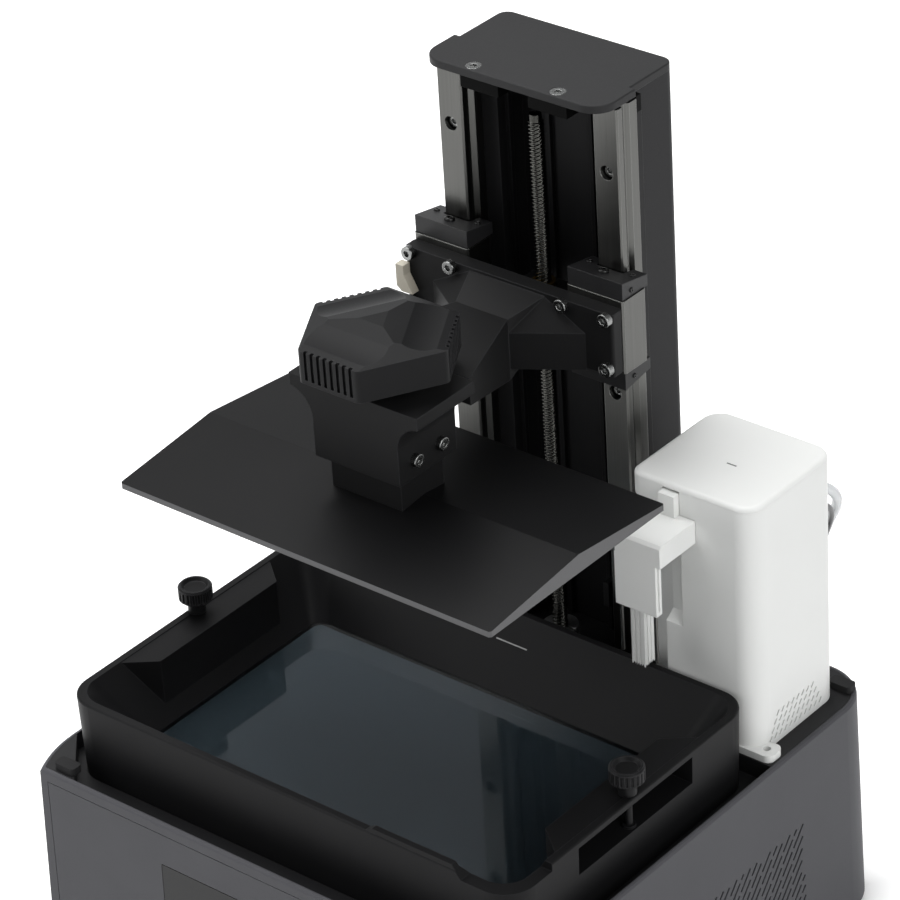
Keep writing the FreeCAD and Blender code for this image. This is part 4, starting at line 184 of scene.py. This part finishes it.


# A worked metal gives the eye lines of the die, cutter or stone about 80 mm long
# along one axis, and corners painted a little brighter, as wear and as a painted
# highlight. The lines and the blast grit are drawn at 0.4 to 0.9 mm, coarser than
# the real 0.1 mm, so that they show.
def metal_skin(name, colour, edge, rough, line_mm, axis, metallic=1.0, depth_mm=0.02, blast=0.0,
               specular=0.5, edge_mm=0.4):
    line_length_mm, grit_mm, rough_swing = 80.0, 0.6, 0.06
    made, tree, shader = new_finish(name)
    place = add(tree, "ShaderNodeTexCoord").outputs["Object"]
    stretch = [1000.0 / line_mm] * 3
    stretch[axis] = 1000.0 / line_length_mm
    along = add(tree, "ShaderNodeMapping", {"Vector": place, "Scale": stretch})
    lines = add(tree, "ShaderNodeTexNoise", {"Vector": along.outputs["Vector"], "Scale": 1.0,
                                             "Detail": 2.0})
    grit = add(tree, "ShaderNodeTexNoise", {"Vector": place, "Scale": 1000.0 / grit_mm, "Detail": 2.0})
    height = add(tree, "ShaderNodeMix", {0: blast, 2: lines.outputs["Fac"], 3: grit.outputs["Fac"]})
    soft = add(tree, "ShaderNodeBevel", {"Radius": edge_mm / 1000.0}, samples=4)
    bump = add(tree, "ShaderNodeBump", {"Height": height.outputs[0], "Strength": 0.3,
                                        "Distance": depth_mm / 1000.0, "Normal": soft.outputs["Normal"]})
    flat = add(tree, "ShaderNodeNewGeometry").outputs["Normal"]
    turn = add(tree, "ShaderNodeVectorMath", {0: soft.outputs["Normal"], 1: flat}, operation="DOT_PRODUCT")
    rim = add(tree, "ShaderNodeMapRange", {"Value": turn.outputs["Value"], "From Min": 0.99,
                                           "From Max": 0.86, "To Min": 0.0, "To Max": 0.8})
    tone = add(tree, "ShaderNodeMix", {0: height.outputs[0], 6: linear(colour[0]), 7: linear(colour[1])},
               data_type="RGBA")
    # Brighter corners: wear and a painted highlight along them.
    wear_and_highlight = add(tree, "ShaderNodeMix", {0: rim.outputs["Result"], 6: tone.outputs[2], 7: linear(edge)},
               data_type="RGBA")
    sheen = add(tree, "ShaderNodeMapRange", {"Value": height.outputs[0], "To Min": rough - rough_swing,
                                             "To Max": rough + rough_swing})
    tree.links.new(wear_and_highlight.outputs[2], shader.inputs["Base Color"])
    tree.links.new(sheen.outputs["Result"], shader.inputs["Roughness"])
    tree.links.new(bump.outputs["Normal"], shader.inputs["Normal"])
    shader.inputs["Metallic"].default_value = metallic
    shader.inputs["Specular IOR Level"].default_value = specular
    return made


# Bare extruded aluminium: pale, with faint drawing lines.
bare_aluminium = metal_skin("extruded_aluminium", ("#a9abac", "#c2c4c5"), "#d8dadb",
                            rough=0.36, line_mm=0.8, axis=1)
wear(bare_aluminium, "led_heatsink", "motor_coupler")
# Solder mask: half-gloss green lacquer over glass fibre.
solder_mask = moulded("green_solder_mask", ("#0f4a2a", "#125531"), "#1a6a40",
                      rough=0.34, grain_mm=1.2, depth_mm=0.03)
wear(solder_mask, "led_array", "main_board")

# Tower: an extruded aluminium column in black anodise, a folded rear cover and
# a moulded cap on top. Flat screws hold the cap and the rails.
# Black anodise: a deep satin black in which the drawing lines still catch light.
anodised = metal_skin("black_anodised_extrusion", ("#1c1c1d", "#212122"), "#303031",
                      rough=0.42, line_mm=0.9, axis=2, metallic=0.1, specular=0.1)
wear(anodised, "tower_column")
# Painted shade: the top 8.5 mm of the column, just under the cap, is painted near black and given less
# specular, as the cap's shade.
tree = anodised.node_tree
shader = tree.nodes["Principled BSDF"]
anodise_tone = shader.inputs["Base Color"].links[0].from_socket
height = add(tree, "ShaderNodeSeparateXYZ", {0: add(tree, "ShaderNodeTexCoord").outputs["Object"]})
head_height = 0.0085
head_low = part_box("tower_column")[1].z - head_height
head = add(tree, "ShaderNodeMath", {0: height.outputs["Z"], 1: head_low}, operation="GREATER_THAN")
painted_cap_shade = add(tree, "ShaderNodeMix", {0: head.outputs[0], 6: anodise_tone, 7: linear("#080808")},
              data_type="RGBA")
# The painted shade under the cap also takes the specular down from 0.1 to 0.03.
cap_shade_specular = add(tree, "ShaderNodeMapRange", {"Value": head.outputs[0], "To Min": 0.1, "To Max": 0.03})
tree.links.new(painted_cap_shade.outputs[2], shader.inputs["Base Color"])
tree.links.new(cap_shade_specular.outputs["Result"], shader.inputs["Specular IOR Level"])
# Matt ABS: dark grey under light, with no clear highlight.
tower_plastic = moulded("matt_black_abs", ("#1f1f20", "#242425"), "#3e3e3f",
                        rough=0.52, grain_mm=0.6, depth_mm=0.04, specular=0.2)
wear(tower_plastic, "top_cap")
# Textured paint: black with a fine pebble of about 0.8 mm.
cover_paint = moulded("black_textured_paint", ("#121214", "#171719"), "#303032",
                      rough=0.55, grain_mm=0.8, depth_mm=0.05, specular=0.18)
wear(cover_paint, "rear_cover")
# Zinc plate: a grey bright metal, a little mottled.
screw_steel = metal_skin("zinc_plated_steel", ("#7c7d7c", "#969796"), "#b4b5b4",
                         rough=0.26, line_mm=0.4, axis=2)
wear(screw_steel, "tower_screws", "arm_screws", "leveling_screws")


# Small button screws: turned heads with a domed edge and a round driver recess.
# One is modelled at the origin, and each copy is set on its face.
def pick_faces(made, wanted):
    bpy.ops.object.mode_set(mode="EDIT")
    bpy.ops.mesh.select_mode(type="FACE")
    bpy.ops.mesh.select_all(action="DESELECT")
    bpy.ops.object.mode_set(mode="OBJECT")
    for face in made.data.polygons:
        face.select = wanted(face)
    bpy.ops.object.mode_set(mode="EDIT")


# The model screw is one unit in radius, and its other sizes are parts of that.
button_height, dome, flat_ring, recess = 0.6, 0.34, 0.16, 0.42
bpy.ops.object.select_all(action="DESELECT")
bpy.ops.mesh.primitive_cylinder_add(vertices=24, radius=1.0, depth=button_height,
                                    location=(0, 0, button_height / 2))
button = bpy.context.object
bpy.ops.object.transform_apply(location=True, rotation=True, scale=True)
pick_faces(button, lambda face: face.normal.z > 0.9)
bpy.ops.mesh.bevel(offset=dome, segments=4, affect="EDGES")
pick_faces(button, lambda face: face.normal.z > 0.99 and len(face.vertices) > 8)
bpy.ops.mesh.inset(thickness=flat_ring)
bpy.ops.mesh.extrude_region_move(TRANSFORM_OT_translate={"value": (0, 0, -recess)})
bpy.ops.object.mode_set(mode="OBJECT")
bpy.ops.object.shade_smooth_by_angle(angle=math.radians(30))
button_shape = button.data.copy()
bpy.data.objects.remove(button)


def button_screws(name, body, finish, radius, places, normal):
    turn = Vector((0, 0, 1)).rotation_difference(Vector(normal).normalized()).to_matrix().to_4x4()
    for number, spot in enumerate(places):
        head = bpy.data.objects.new(f"{name}_{number}", button_shape.copy())
        bpy.context.scene.collection.objects.link(head)
        head.data.transform(Matrix.Translation(spot) @ turn @ Matrix.Scale(radius, 4))
        head.data.materials.append(finish)
        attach(head, body)


cover_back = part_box("rear_cover")[1].y
# Black oxide: dark oiled steel that is bright only along its edges.
black_oxide = metal_skin("black_oxide_steel", ("#2c2c2c", "#3a3a3a"), "#6a6a6a",
                         rough=0.34, line_mm=0.4, axis=2)
cover_x, cover_heights = 0.036, (0.150, 0.292, 0.434)
button_screws("cover_screw", "base", black_oxide, radius=0.0028, normal=(0, 1, 0),
              places=[(x, cover_back, z) for x in (-cover_x, cover_x) for z in cover_heights])
floor_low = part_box("bottom_plate")[0].z
floor_x, floor_y = 0.128, 0.125
button_screws("floor_screw", "base", black_oxide, radius=0.003, normal=(0, 0, -1),
              places=[(x, y, floor_low) for x in (-floor_x, 0.0, floor_x) for y in (-floor_y, floor_y)])

# Rails and carriages: hardened steel ground bright along its length, with black
# moulded end caps on the carriages.
# Ground steel: long fine grinding lines and a broad bright streak.
ground_steel = metal_skin("ground_bearing_steel", ("#535351", "#646462"), "#969794",
                          rough=0.3, line_mm=0.5, axis=2, metallic=1.0, depth_mm=0.008)
wear(ground_steel, "rail_left", "rail_right", "carriage_left", "carriage_right", "level_probes")
# Glass-filled nylon: black, with a slightly uneven satin skin.
cap_nylon = moulded("black_glass_filled_nylon", ("#1c1c1d", "#212122"), "#363638",
                    rough=0.44, grain_mm=0.7, depth_mm=0.04, specular=0.3)
wear(cap_nylon, "carriage_end_caps", "z_endstop", "endstop_flag")
cap_low, cap_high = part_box("carriage_end_caps")
rail_x, cap_drop, sunk = 0.04725, 0.0034, 0.00005
cap_slope = cap_drop / (cap_high.y - cap_low.y)
for name, radius, x_steps, y_step in (("cap_plug", 0.0027, (0.0,), 0.0068),
                                      ("cap_screw", 0.0016, (-0.0128, 0.0128), 0.0126)):
    spots = [(side * rail_x + step, cap_low.y + y_step, cap_high.z - cap_slope * y_step - sunk)
             for side in (-1, 1) for step in x_steps]
    button_screws(name, "carriage", black_oxide, radius, spots, (0, cap_slope, 1))
port_y = cap_low.y + 0.007
port_heights = cap_high.z - 0.0062, cap_low.z + 0.0052
for side, end in ((-1, "left"), (1, "right")):
    button_screws(f"cap_port_{end}", "carriage", black_oxide, radius=0.0013,
                  places=[(side * cap_high.x - side * sunk, port_y, z) for z in port_heights],
                  normal=(side, 0, 0))

# Lead screw: a rolled four-start steel thread, two millimetres from crest to
# crest, turned down at both ends and held in the coupler on the motor.
low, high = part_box("lead_screw")
bpy.ops.object.select_all(action="DESELECT")
bpy.ops.mesh.primitive_plane_add(size=0.001)
thread = bpy.context.object
thread.name = "lead_screw_thread"
bpy.ops.object.mode_set(mode="EDIT")
bpy.ops.mesh.select_all(action="DESELECT")
bpy.ops.object.mode_set(mode="OBJECT")
for corner in thread.data.vertices[1:]:
    corner.select = True
bpy.ops.object.mode_set(mode="EDIT")
bpy.ops.mesh.select_mode(type="VERT")
bpy.ops.mesh.delete(type="VERT")
bpy.ops.object.mode_set(mode="OBJECT")
root_radius, crest_radius, lead_rise, starts = 0.0031, 0.00395, 0.008, 4
tooth_depth = crest_radius - root_radius
root_flat, lower_flank, crest_flat, upper_flank = 0.0005, 0.0004, 0.0006, 0.0005
thread.data.vertices[0].co = (root_radius, 0, 0)
thread.data.vertices[0].select = True
bpy.ops.object.mode_set(mode="EDIT")
for _ in range(starts):
    for out, rise in ((0, root_flat), (tooth_depth, lower_flank), (0, crest_flat),
                      (-tooth_depth, upper_flank)):
        bpy.ops.mesh.extrude_region_move(TRANSFORM_OT_translate={"value": (out, 0, rise)})
bpy.ops.object.mode_set(mode="OBJECT")
coil = thread.modifiers.new("rolled thread", "SCREW")
coil.screw_offset = lead_rise
coil.iterations = math.floor((high.z - low.z) / lead_rise)
coil.steps = coil.render_steps = 18
coil.use_merge_vertices = True
coil.merge_threshold = 1e-6
bpy.ops.object.modifier_apply(modifier=coil.name)
axis_x, axis_y = (low.x + high.x) / 2, (low.y + high.y) / 2
thread.data.transform(Matrix.Translation((axis_x, axis_y, low.z)))
thread_low, thread_high = low.z + 0.0085, high.z - 0.004
bpy.ops.object.mode_set(mode="EDIT")
for end, cleared in ((thread_low, "clear_inner"), (thread_high, "clear_outer")):
    bpy.ops.mesh.select_all(action="SELECT")
    bpy.ops.mesh.bisect(plane_co=(axis_x, axis_y, end), plane_no=(0, 0, 1), use_fill=True,
                        **{cleared: True})
bpy.ops.mesh.select_all(action="SELECT")
bpy.ops.mesh.normals_make_consistent(inside=False)
bpy.ops.mesh.primitive_cylinder_add(vertices=28, radius=root_radius, depth=high.z - low.z,
                                    location=(axis_x, axis_y, (low.z + high.z) / 2))
end_chamfer = 0.0004
bpy.ops.mesh.bevel(offset=end_chamfer, segments=2)
bpy.ops.object.mode_set(mode="OBJECT")
bpy.ops.object.shade_smooth_by_angle(angle=math.radians(35))
# Rolled steel: a dark oiled metal with the edges of its crests painted paler, as
# burnish and as a painted highlight, that mirrors the lamps as streaks down its length.
rolled_steel = metal_skin("rolled_screw_steel", ("#3e3e3b", "#4c4c49"), "#84847f",
                          rough=0.2, line_mm=0.6, axis=2)
thread.data.materials.append(rolled_steel)
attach(thread, "screw")
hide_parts("lead_screw")

# Inlet pins: three nickel-plated brass blades that stand in the mains inlet, with
# chamfered tips so that a plug slides on.


def settle(name, scale, spot, tilt=0.0):
    made = bpy.context.object
    made.name = name
    made.scale = scale
    made.rotation_euler = (tilt, 0, 0)
    made.location = spot
    bpy.ops.object.transform_apply(location=True, rotation=True, scale=True)
    return made


# Nickel plate: a warm bright grey with a sharp glint.
nickel = metal_skin("nickel_plated_brass", ("#8f8e8a", "#a5a49f"), "#c2c1bc",
                    rough=0.22, line_mm=0.5, axis=1)
inlet_low, inlet_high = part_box("power_inlet")
inlet_middle = (inlet_low + inlet_high) / 2
pin_tip, pin_root = inlet_high.y - 0.0028, inlet_high.y - 0.0158
pin_width, pin_height, tip_chamfer = 0.0024, 0.0044, 0.0007
pin_places = ((-0.007, -0.002), (0.0, 0.002), (0.007, -0.002))
for number, (across, rise) in enumerate(pin_places):
    bpy.ops.object.select_all(action="DESELECT")
    bpy.ops.mesh.primitive_cube_add(size=1.0)
    pin = settle(f"inlet_pin_{number}", (pin_width, pin_tip - pin_root, pin_height),
                 (inlet_middle.x + across, (pin_tip + pin_root) / 2, inlet_middle.z + rise))
    pick_faces(pin, lambda face: face.normal.y > 0.9)
    bpy.ops.mesh.bevel(offset=tip_chamfer, segments=2, affect="EDGES")
    bpy.ops.object.mode_set(mode="OBJECT")
    pin.data.materials.append(nickel)
    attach(pin, "base")

# Switch marks: a plain bar and a plain ring, pad-printed in pale ink on the two
# halves of the power rocker.
# Pad-print ink: a thin pale grey film.
pad_ink = moulded("pale_pad_print_ink", ("#a2a3a3", "#aeafaf"), "#b8b8b8",
                  rough=0.5, grain_mm=0.4, depth_mm=0.01)


def face_of(node, spot, way):
    probe_step = 0.0005
    first, second = [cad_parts[node].ray_cast(Vector(spot) + Vector((0, 0, step)), Vector(way))[1]
                     for step in (-probe_step, probe_step)]
    return (first + second) / 2, math.atan2(second.y - first.y, second.z - first.z)


def round_edges(offset, segments):
    bpy.ops.object.mode_set(mode="EDIT")
    bpy.ops.mesh.select_all(action="SELECT")
    bpy.ops.mesh.bevel(offset=offset, segments=segments)
    bpy.ops.object.mode_set(mode="OBJECT")


rocker_low, rocker_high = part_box("power_rocker")
rocker_middle = (rocker_low + rocker_high) / 2
mark_rise, stand_off = 0.0023, 0.01
bar_size, ring_radius, ring_line, ring_flatness = (0.0006, 0.0024, 0.0002), 0.0011, 0.0003, 0.33
for mark, rise, soft_edge in (("on", mark_rise, 0.00005), ("off", -mark_rise, 0.00001)):
    probe = (rocker_middle.x, rocker_high.y + stand_off, rocker_middle.z + rise)
    spot, lean = face_of("power_rocker", probe, (0, -1, 0))
    bpy.ops.object.select_all(action="DESELECT")
    if mark == "on":
        bpy.ops.mesh.primitive_cube_add(size=1.0)
        scale = bar_size
    else:
        bpy.ops.mesh.primitive_torus_add(major_radius=ring_radius, minor_radius=ring_line,
                                         major_segments=32, minor_segments=8)
        scale = (1.0, 1.0, ring_flatness)
    print_mark = settle(f"switch_mark_{mark}", scale, spot, math.radians(90) - lean)
    round_edges(offset=soft_edge, segments=2)
    print_mark.data.materials.append(pad_ink)
    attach(print_mark, "rocker")

# Motor and nut: a stepper motor in black lacquer under the deck, and a turned
# brass nut with a flange that rides on the screw.
# Motor lacquer: thin semi-gloss black.
motor_lacquer = moulded("black_motor_lacquer", ("#1c1c1d", "#232324"), "#3a3a3b",
                        rough=0.38, grain_mm=1.0, depth_mm=0.03)
wear(motor_lacquer, "z_motor")
# Turned brass: warm yellow metal with fine cutter lines.
turned_brass = metal_skin("turned_brass", ("#a8863f", "#c09c50"), "#d8b870",
                          rough=0.3, line_mm=0.5, axis=0)
wear(turned_brass, "lead_nut")

# Arm: a die-cast aluminium bracket, blasted and anodised black, bolted to both
# carriages. A cream sensor block is screwed to its left end.
# Blasted casting: an even dry black with a tiny sparkle of grit, and edges painted paler as wear and as a
# painted highlight.
cast_arm = metal_skin("blasted_black_casting", ("#191919", "#1e1e1f"), "#3c3c3e",
                      rough=0.46, line_mm=0.9, axis=0, metallic=0.05, depth_mm=0.04, blast=0.9,
                      specular=0.09, edge_mm=0.8)
wear(cast_arm, "arm")
# Cream ABS: a warm pale plastic with a soft sheen.
cream_abs = moulded("cream_abs", ("#b9b3a4", "#c4beaf"), "#d6d1c4",
                    rough=0.45, grain_mm=0.6, depth_mm=0.04)
wear(cream_abs, "sensor_block")

# Build platform: an aluminium plate, sand-blasted and anodised black, on a
# neck that the coved bracket clamps. A six-sided moulded knob locks it.
# Blasted anodise: a smooth dark satin face, paler on the milled edges. The grit is
# drawn at 0.6 mm, coarser than the real 0.1 mm, and the cloud is about 60 mm wide.
blasted_plate, tree, shader = new_finish("blasted_plate_with_milled_edges")
place = add(tree, "ShaderNodeTexCoord").outputs["Object"]
grit_mm, cloud_mm, steep = 0.6, 60.0, 0.4
grit = add(tree, "ShaderNodeTexNoise", {"Vector": place, "Scale": 1000.0 / grit_mm, "Detail": 2.0})
cloud = add(tree, "ShaderNodeTexNoise", {"Vector": place, "Scale": 1000.0 / cloud_mm, "Detail": 3.0})
facing = add(tree, "ShaderNodeSeparateXYZ", {0: add(tree, "ShaderNodeNewGeometry").outputs["Normal"]})
upright = add(tree, "ShaderNodeMath", {0: facing.outputs["Z"]}, operation="ABSOLUTE")
milled = add(tree, "ShaderNodeMath", {0: upright.outputs[0], 1: steep}, operation="LESS_THAN")
skin = add(tree, "ShaderNodeMix", {0: cloud.outputs["Fac"], 6: linear("#0f0f10"), 7: linear("#151516")},
           data_type="RGBA")
tone = add(tree, "ShaderNodeMix", {0: milled.outputs[0], 6: skin.outputs[2], 7: linear("#626263")},
           data_type="RGBA")
soft = add(tree, "ShaderNodeBevel", {"Radius": 0.0004}, samples=4)
bump = add(tree, "ShaderNodeBump", {"Height": grit.outputs["Fac"], "Strength": 0.25,
                                    "Distance": 0.00004, "Normal": soft.outputs["Normal"]})
sheen = add(tree, "ShaderNodeMapRange", {"Value": grit.outputs["Fac"], "To Min": 0.38, "To Max": 0.52})
tree.links.new(tone.outputs[2], shader.inputs["Base Color"])
tree.links.new(sheen.outputs["Result"], shader.inputs["Roughness"])
tree.links.new(bump.outputs["Normal"], shader.inputs["Normal"])
shader.inputs["Metallic"].default_value = 0.1
shader.inputs["Specular IOR Level"].default_value = 0.12
wear(blasted_plate, "build_plate")
wear(cast_arm, "platform_stub", "platform_bracket")
# Satin nylon: black, with each worn edge painted paler as a soft broad highlight.
knob_nylon = moulded("satin_black_nylon", ("#141415", "#181819"), "#505052",
                     rough=0.42, grain_mm=0.55, depth_mm=0.04, specular=0.11)
wear(knob_nylon, "clamp_knob")

# Vat: a deep dark ABS tub with grips in its ends and a pouring corner. A steel
# frame stretches the clear release film across its bottom.
# Dark vat ABS: satin black that stays dull where resin is wiped off it.
vat_abs = moulded("dark_vat_abs", ("#131314", "#181819"), "#37373a",
                  rough=0.44, grain_mm=0.6, depth_mm=0.035, specular=0.09)
wear(vat_abs, "vat_tub")
wear(cover_paint, "film_frame")
# Fluoropolymer film: clear and thin, with slow stretch waves about 70 mm long.
clear_film, tree, shader = new_finish("clear_fluoropolymer_film")
place = add(tree, "ShaderNodeTexCoord").outputs["Object"]
ripple_mm = 70.0
ripple = add(tree, "ShaderNodeTexNoise", {"Vector": place, "Scale": 1000.0 / ripple_mm, "Detail": 1.0})
stretch_mark = add(tree, "ShaderNodeBump", {"Height": ripple.outputs["Fac"], "Strength": 0.08,
                                            "Distance": 0.001})
tree.links.new(stretch_mark.outputs["Normal"], shader.inputs["Normal"])
shader.inputs["Base Color"].default_value = linear("#dfe6ec")
shader.inputs["Roughness"].default_value = 0.03
shader.inputs["IOR"].default_value = 1.34
shader.inputs["Specular IOR Level"].default_value = 0.45
shader.inputs["Transmission Weight"].default_value = 1.0
wear(clear_film, "release_film")
wear(knob_nylon, "thumb_screw_left", "thumb_screw_right")
line_x, line_height, line_size = 0.0015, 0.151, (0.0195, 0.0002, 0.0007)
spot, lean = face_of("vat_tub", (line_x, 0.0, line_height), (0, 1, 0))
bpy.ops.object.select_all(action="DESELECT")
bpy.ops.mesh.primitive_cube_add(size=1.0)
level_line = settle("level_line", line_size, spot, -lean)
round_edges(offset=0.00005, segments=2)
level_line.data.materials.append(pad_ink)
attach(level_line, "vat")

# Resin feeder: a satin white ABS housing with a lid, a sliding nozzle head, and
# a small pump and its hose ports inside and behind it.
# Satin white ABS: clean and bright, with soft grey turns at its edges.
white_abs = moulded("satin_white_abs", ("#e6e7e5", "#ebecea"), "#f2f2f0",
                    rough=0.42, grain_mm=0.6, depth_mm=0.03, specular=0.4)
wear(white_abs, "feeder_housing", "feeder_lid", "nozzle_head", "nozzle_pipe", "port_plate")
wear(motor_lacquer, "feeder_pump")
lid_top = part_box("feeder_lid")[1].z
slit_size, slit_x, slit_y, slit_sunk = (0.0058, 0.0010, 0.0006), 0.1076, 0.0912, 0.0002
bpy.ops.object.select_all(action="DESELECT")
bpy.ops.mesh.primitive_cube_add(size=1.0)
lamp_slit = settle("lamp_slit", slit_size, (slit_x, slit_y, lid_top - slit_sunk))
round_edges(offset=0.0002, segments=3)
# Smoked polycarbonate: a grey lens for a small lamp.
smoked_pc = moulded("smoked_polycarbonate", ("#6e706f", "#7a7c7b"), "#8a8c8b",
                    rough=0.25, grain_mm=0.5, depth_mm=0.01)
lamp_slit.data.materials.append(smoked_pc)
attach(lamp_slit, "base")

# Hose: clear vinyl tube pushed into the feeder's upper port. It hangs down
# behind the base and ends on the table in a moulded intake strainer.
hose_route = [
    (0.115, 0.1315, 0.231), (0.115, 0.150, 0.231), (0.1148, 0.166, 0.2195), (0.1105, 0.1765, 0.205),
    (0.100, 0.1825, 0.188), (0.0905, 0.187, 0.166), (0.086, 0.1895, 0.141), (0.084, 0.190, 0.113),
    (0.0835, 0.1885, 0.084), (0.081, 0.1865, 0.056), (0.0745, 0.1855, 0.033), (0.0635, 0.1865, 0.0155),
    (0.047, 0.188, 0.0056), (0.026, 0.1885, 0.00285), (0.0, 0.1865, 0.00285), (-0.024, 0.1815, 0.0052)]


def flexible(name, route, radius):
    line = bpy.data.curves.new(name, "CURVE")
    line.dimensions = "3D"
    spline = line.splines.new("NURBS")
    spline.points.add(len(route) - 1)
    for point, spot in zip(spline.points, route):
        point.co = (*spot, 1.0)
    spline.order_u = 3
    spline.use_endpoint_u = True
    spline.resolution_u = 10
    line.bevel_depth = radius
    line.bevel_resolution = 5
    line.use_fill_caps = True
    made = bpy.data.objects.new(name, line)
    bpy.context.scene.collection.objects.link(made)
    return made


hose = flexible("hose_line", hose_route, radius=0.00275)
# Clear vinyl: see-through and slightly milky, in clouds about 17 mm long.
clear_vinyl, tree, shader = new_finish("clear_vinyl")
place = add(tree, "ShaderNodeTexCoord").outputs["Object"]
milk_mm = 17.0
milk = add(tree, "ShaderNodeTexNoise", {"Vector": place, "Scale": 1000.0 / milk_mm, "Detail": 2.0})
tint = add(tree, "ShaderNodeMix", {0: milk.outputs["Fac"], 6: linear("#d3d6d8"), 7: linear("#e6e8e9")},
           data_type="RGBA")
tree.links.new(tint.outputs[2], shader.inputs["Base Color"])
shader.inputs["Roughness"].default_value = 0.16
shader.inputs["IOR"].default_value = 1.53
shader.inputs["Transmission Weight"].default_value = 0.45
hose.data.materials.append(clear_vinyl)
wear(white_abs, "intake_strainer")
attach(hose, "base")
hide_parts("feeder_hose")

# Signal lead: thin black vinyl over two cores, from the feeder's lower port to
# a small round plug in the socket on the back of the base.
lead_route = [
    (0.115, 0.1315, 0.2235), (0.115, 0.147, 0.2235), (0.1144, 0.1615, 0.213), (0.1105, 0.1715, 0.201),
    (0.103, 0.177, 0.186), (0.095, 0.1805, 0.167), (0.088, 0.183, 0.144), (0.082, 0.185, 0.120),
    (0.0771, 0.1861, 0.102), (0.0753, 0.186, 0.0885), (0.074, 0.180, 0.072), (0.074, 0.16539, 0.072)]
lead = flexible("lead_line", lead_route, radius=0.0014)
# Lead vinyl: black and a little shiny.
lead_vinyl = moulded("black_lead_vinyl", ("#232325", "#2b2b2d"), "#3a3a3c",
                     rough=0.34, grain_mm=0.8, depth_mm=0.02, specular=0.5)
lead.data.materials.append(lead_vinyl)
wear(black_abs, "lead_plug")
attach(lead, "base")
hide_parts("feeder_lead")

# Studio: a pale floor, soft boxes above and to both sides, and the camera at
# the photograph's angle. The floor shows white and keeps the shadow.
floor_width = 12.0
bpy.ops.object.select_all(action="DESELECT")
bpy.ops.mesh.primitive_plane_add(size=floor_width)
floor = bpy.context.object
floor.name = "studio_floor"


def seen_straight(tree):
    rays = add(tree, "ShaderNodeLightPath").outputs
    seen = add(tree, "ShaderNodeMath", {0: rays["Is Camera Ray"], 1: rays["Is Glossy Ray"]},
               operation="MAXIMUM")
    seen = add(tree, "ShaderNodeMath", {0: seen.outputs[0], 1: rays["Is Transmission Ray"]},
               operation="MAXIMUM")
    return seen.outputs[0]


# Pale floor: matt paper that glows white to the camera and in reflections only.
paper, tree, shader = new_finish("pale_floor")
tree.nodes.remove(shader)
seen = seen_straight(tree)
place = add(tree, "ShaderNodeTexCoord").outputs["Object"]
away = add(tree, "ShaderNodeVectorMath", {0: place}, operation="LENGTH")
far_white = add(tree, "ShaderNodeMapRange", {"Value": away.outputs["Value"], "From Min": 0.7,
                                             "From Max": 2.6, "To Min": 0.0, "To Max": 0.5})
# Painted shadow: under the base and in a band about 15 mm round it the floor gives no light of its own, so
# a dark contact shadow is painted there.
over = add(tree, "ShaderNodeVectorMath", {0: place}, operation="ABSOLUTE")
over = add(tree, "ShaderNodeSeparateXYZ", {0: over.outputs["Vector"]})
over = add(tree, "ShaderNodeMath", {0: over.outputs["X"], 1: over.outputs["Y"]}, operation="MAXIMUM")
glow_round_painted_shadow = add(tree, "ShaderNodeMapRange", {"Value": over.outputs[0], "From Min": 0.140,
                                              "From Max": 0.172, "To Min": 0.0, "To Max": 0.5})
level = add(tree, "ShaderNodeMath", {0: glow_round_painted_shadow.outputs["Result"], 1: far_white.outputs["Result"]},
            operation="ADD")
level = add(tree, "ShaderNodeMath", {0: seen, 1: level.outputs[0]}, operation="MULTIPLY")
sheet = add(tree, "ShaderNodeBsdfDiffuse", {"Color": linear("#ededed")})
glow = add(tree, "ShaderNodeEmission", {"Color": linear("#ffffff"), "Strength": level.outputs[0]})
both = add(tree, "ShaderNodeAddShader", {0: sheet.outputs[0], 1: glow.outputs[0]})
tree.links.new(both.outputs[0], tree.nodes["Material Output"].inputs["Surface"])
floor.data.materials.append(paper)

world = bpy.data.worlds.new("studio")
bpy.context.scene.world = world
world.use_nodes = True
tree = world.node_tree
seen = seen_straight(tree)
# The wall of the studio is white round the horizon and falls away above it.
height = add(tree, "ShaderNodeSeparateXYZ", {0: add(tree, "ShaderNodeTexCoord").outputs["Generated"]})
wall = add(tree, "ShaderNodeMapRange", {"Value": height.outputs["Z"], "From Min": 0.22, "From Max": 0.5,
                                        "To Min": 1.0, "To Max": 0.3})
level = add(tree, "ShaderNodeMix", {0: seen, 2: 0.32, 3: wall.outputs["Result"]})
tree.nodes["Background"].inputs["Color"].default_value = linear("#f3f4f5")
tree.links.new(level.outputs[0], tree.nodes["Background"].inputs["Strength"])

aim = Vector((0, 0, 0.2))
for name, spot, size, power in (("top_box", (-0.7, 0.25, 2.3), 1.8, 50.0),
                                ("right_box", (2.2, -0.5, 1.5), 1.5, 28.5),
                                ("left_box", (-1.7, -1.8, 1.3), 1.5, 18.5)):
    lamp = bpy.data.lights.new(name, "AREA")
    lamp.size = size
    lamp.energy = power
    holder = bpy.data.objects.new(name, lamp)
    bpy.context.scene.collection.objects.link(holder)
    holder.location = spot
    holder.rotation_euler = (aim - Vector(spot)).to_track_quat("-Z", "Y").to_euler()

bpy.ops.object.select_all(action="DESELECT")
bpy.ops.object.camera_add()
camera = bpy.context.object
camera.data.sensor_width = 36.0
camera.data.lens = 167.99
camera.data.clip_start, camera.data.clip_end = 0.05, 30.0
back = Vector((0.5620, -0.6446, 0.5183)).normalized()
right = Vector((0.7741, 0.6307, -0.0549))
right = (right - back * right.dot(back)).normalized()
up = back.cross(right)
camera_spot = Matrix.Translation((1.13760, -1.29558, 1.33214))
camera.matrix_world = camera_spot @ Matrix((right, up, back)).transposed().to_4x4()
bpy.context.scene.camera = camera

bpy.context.scene.view_settings.view_transform = "Standard"
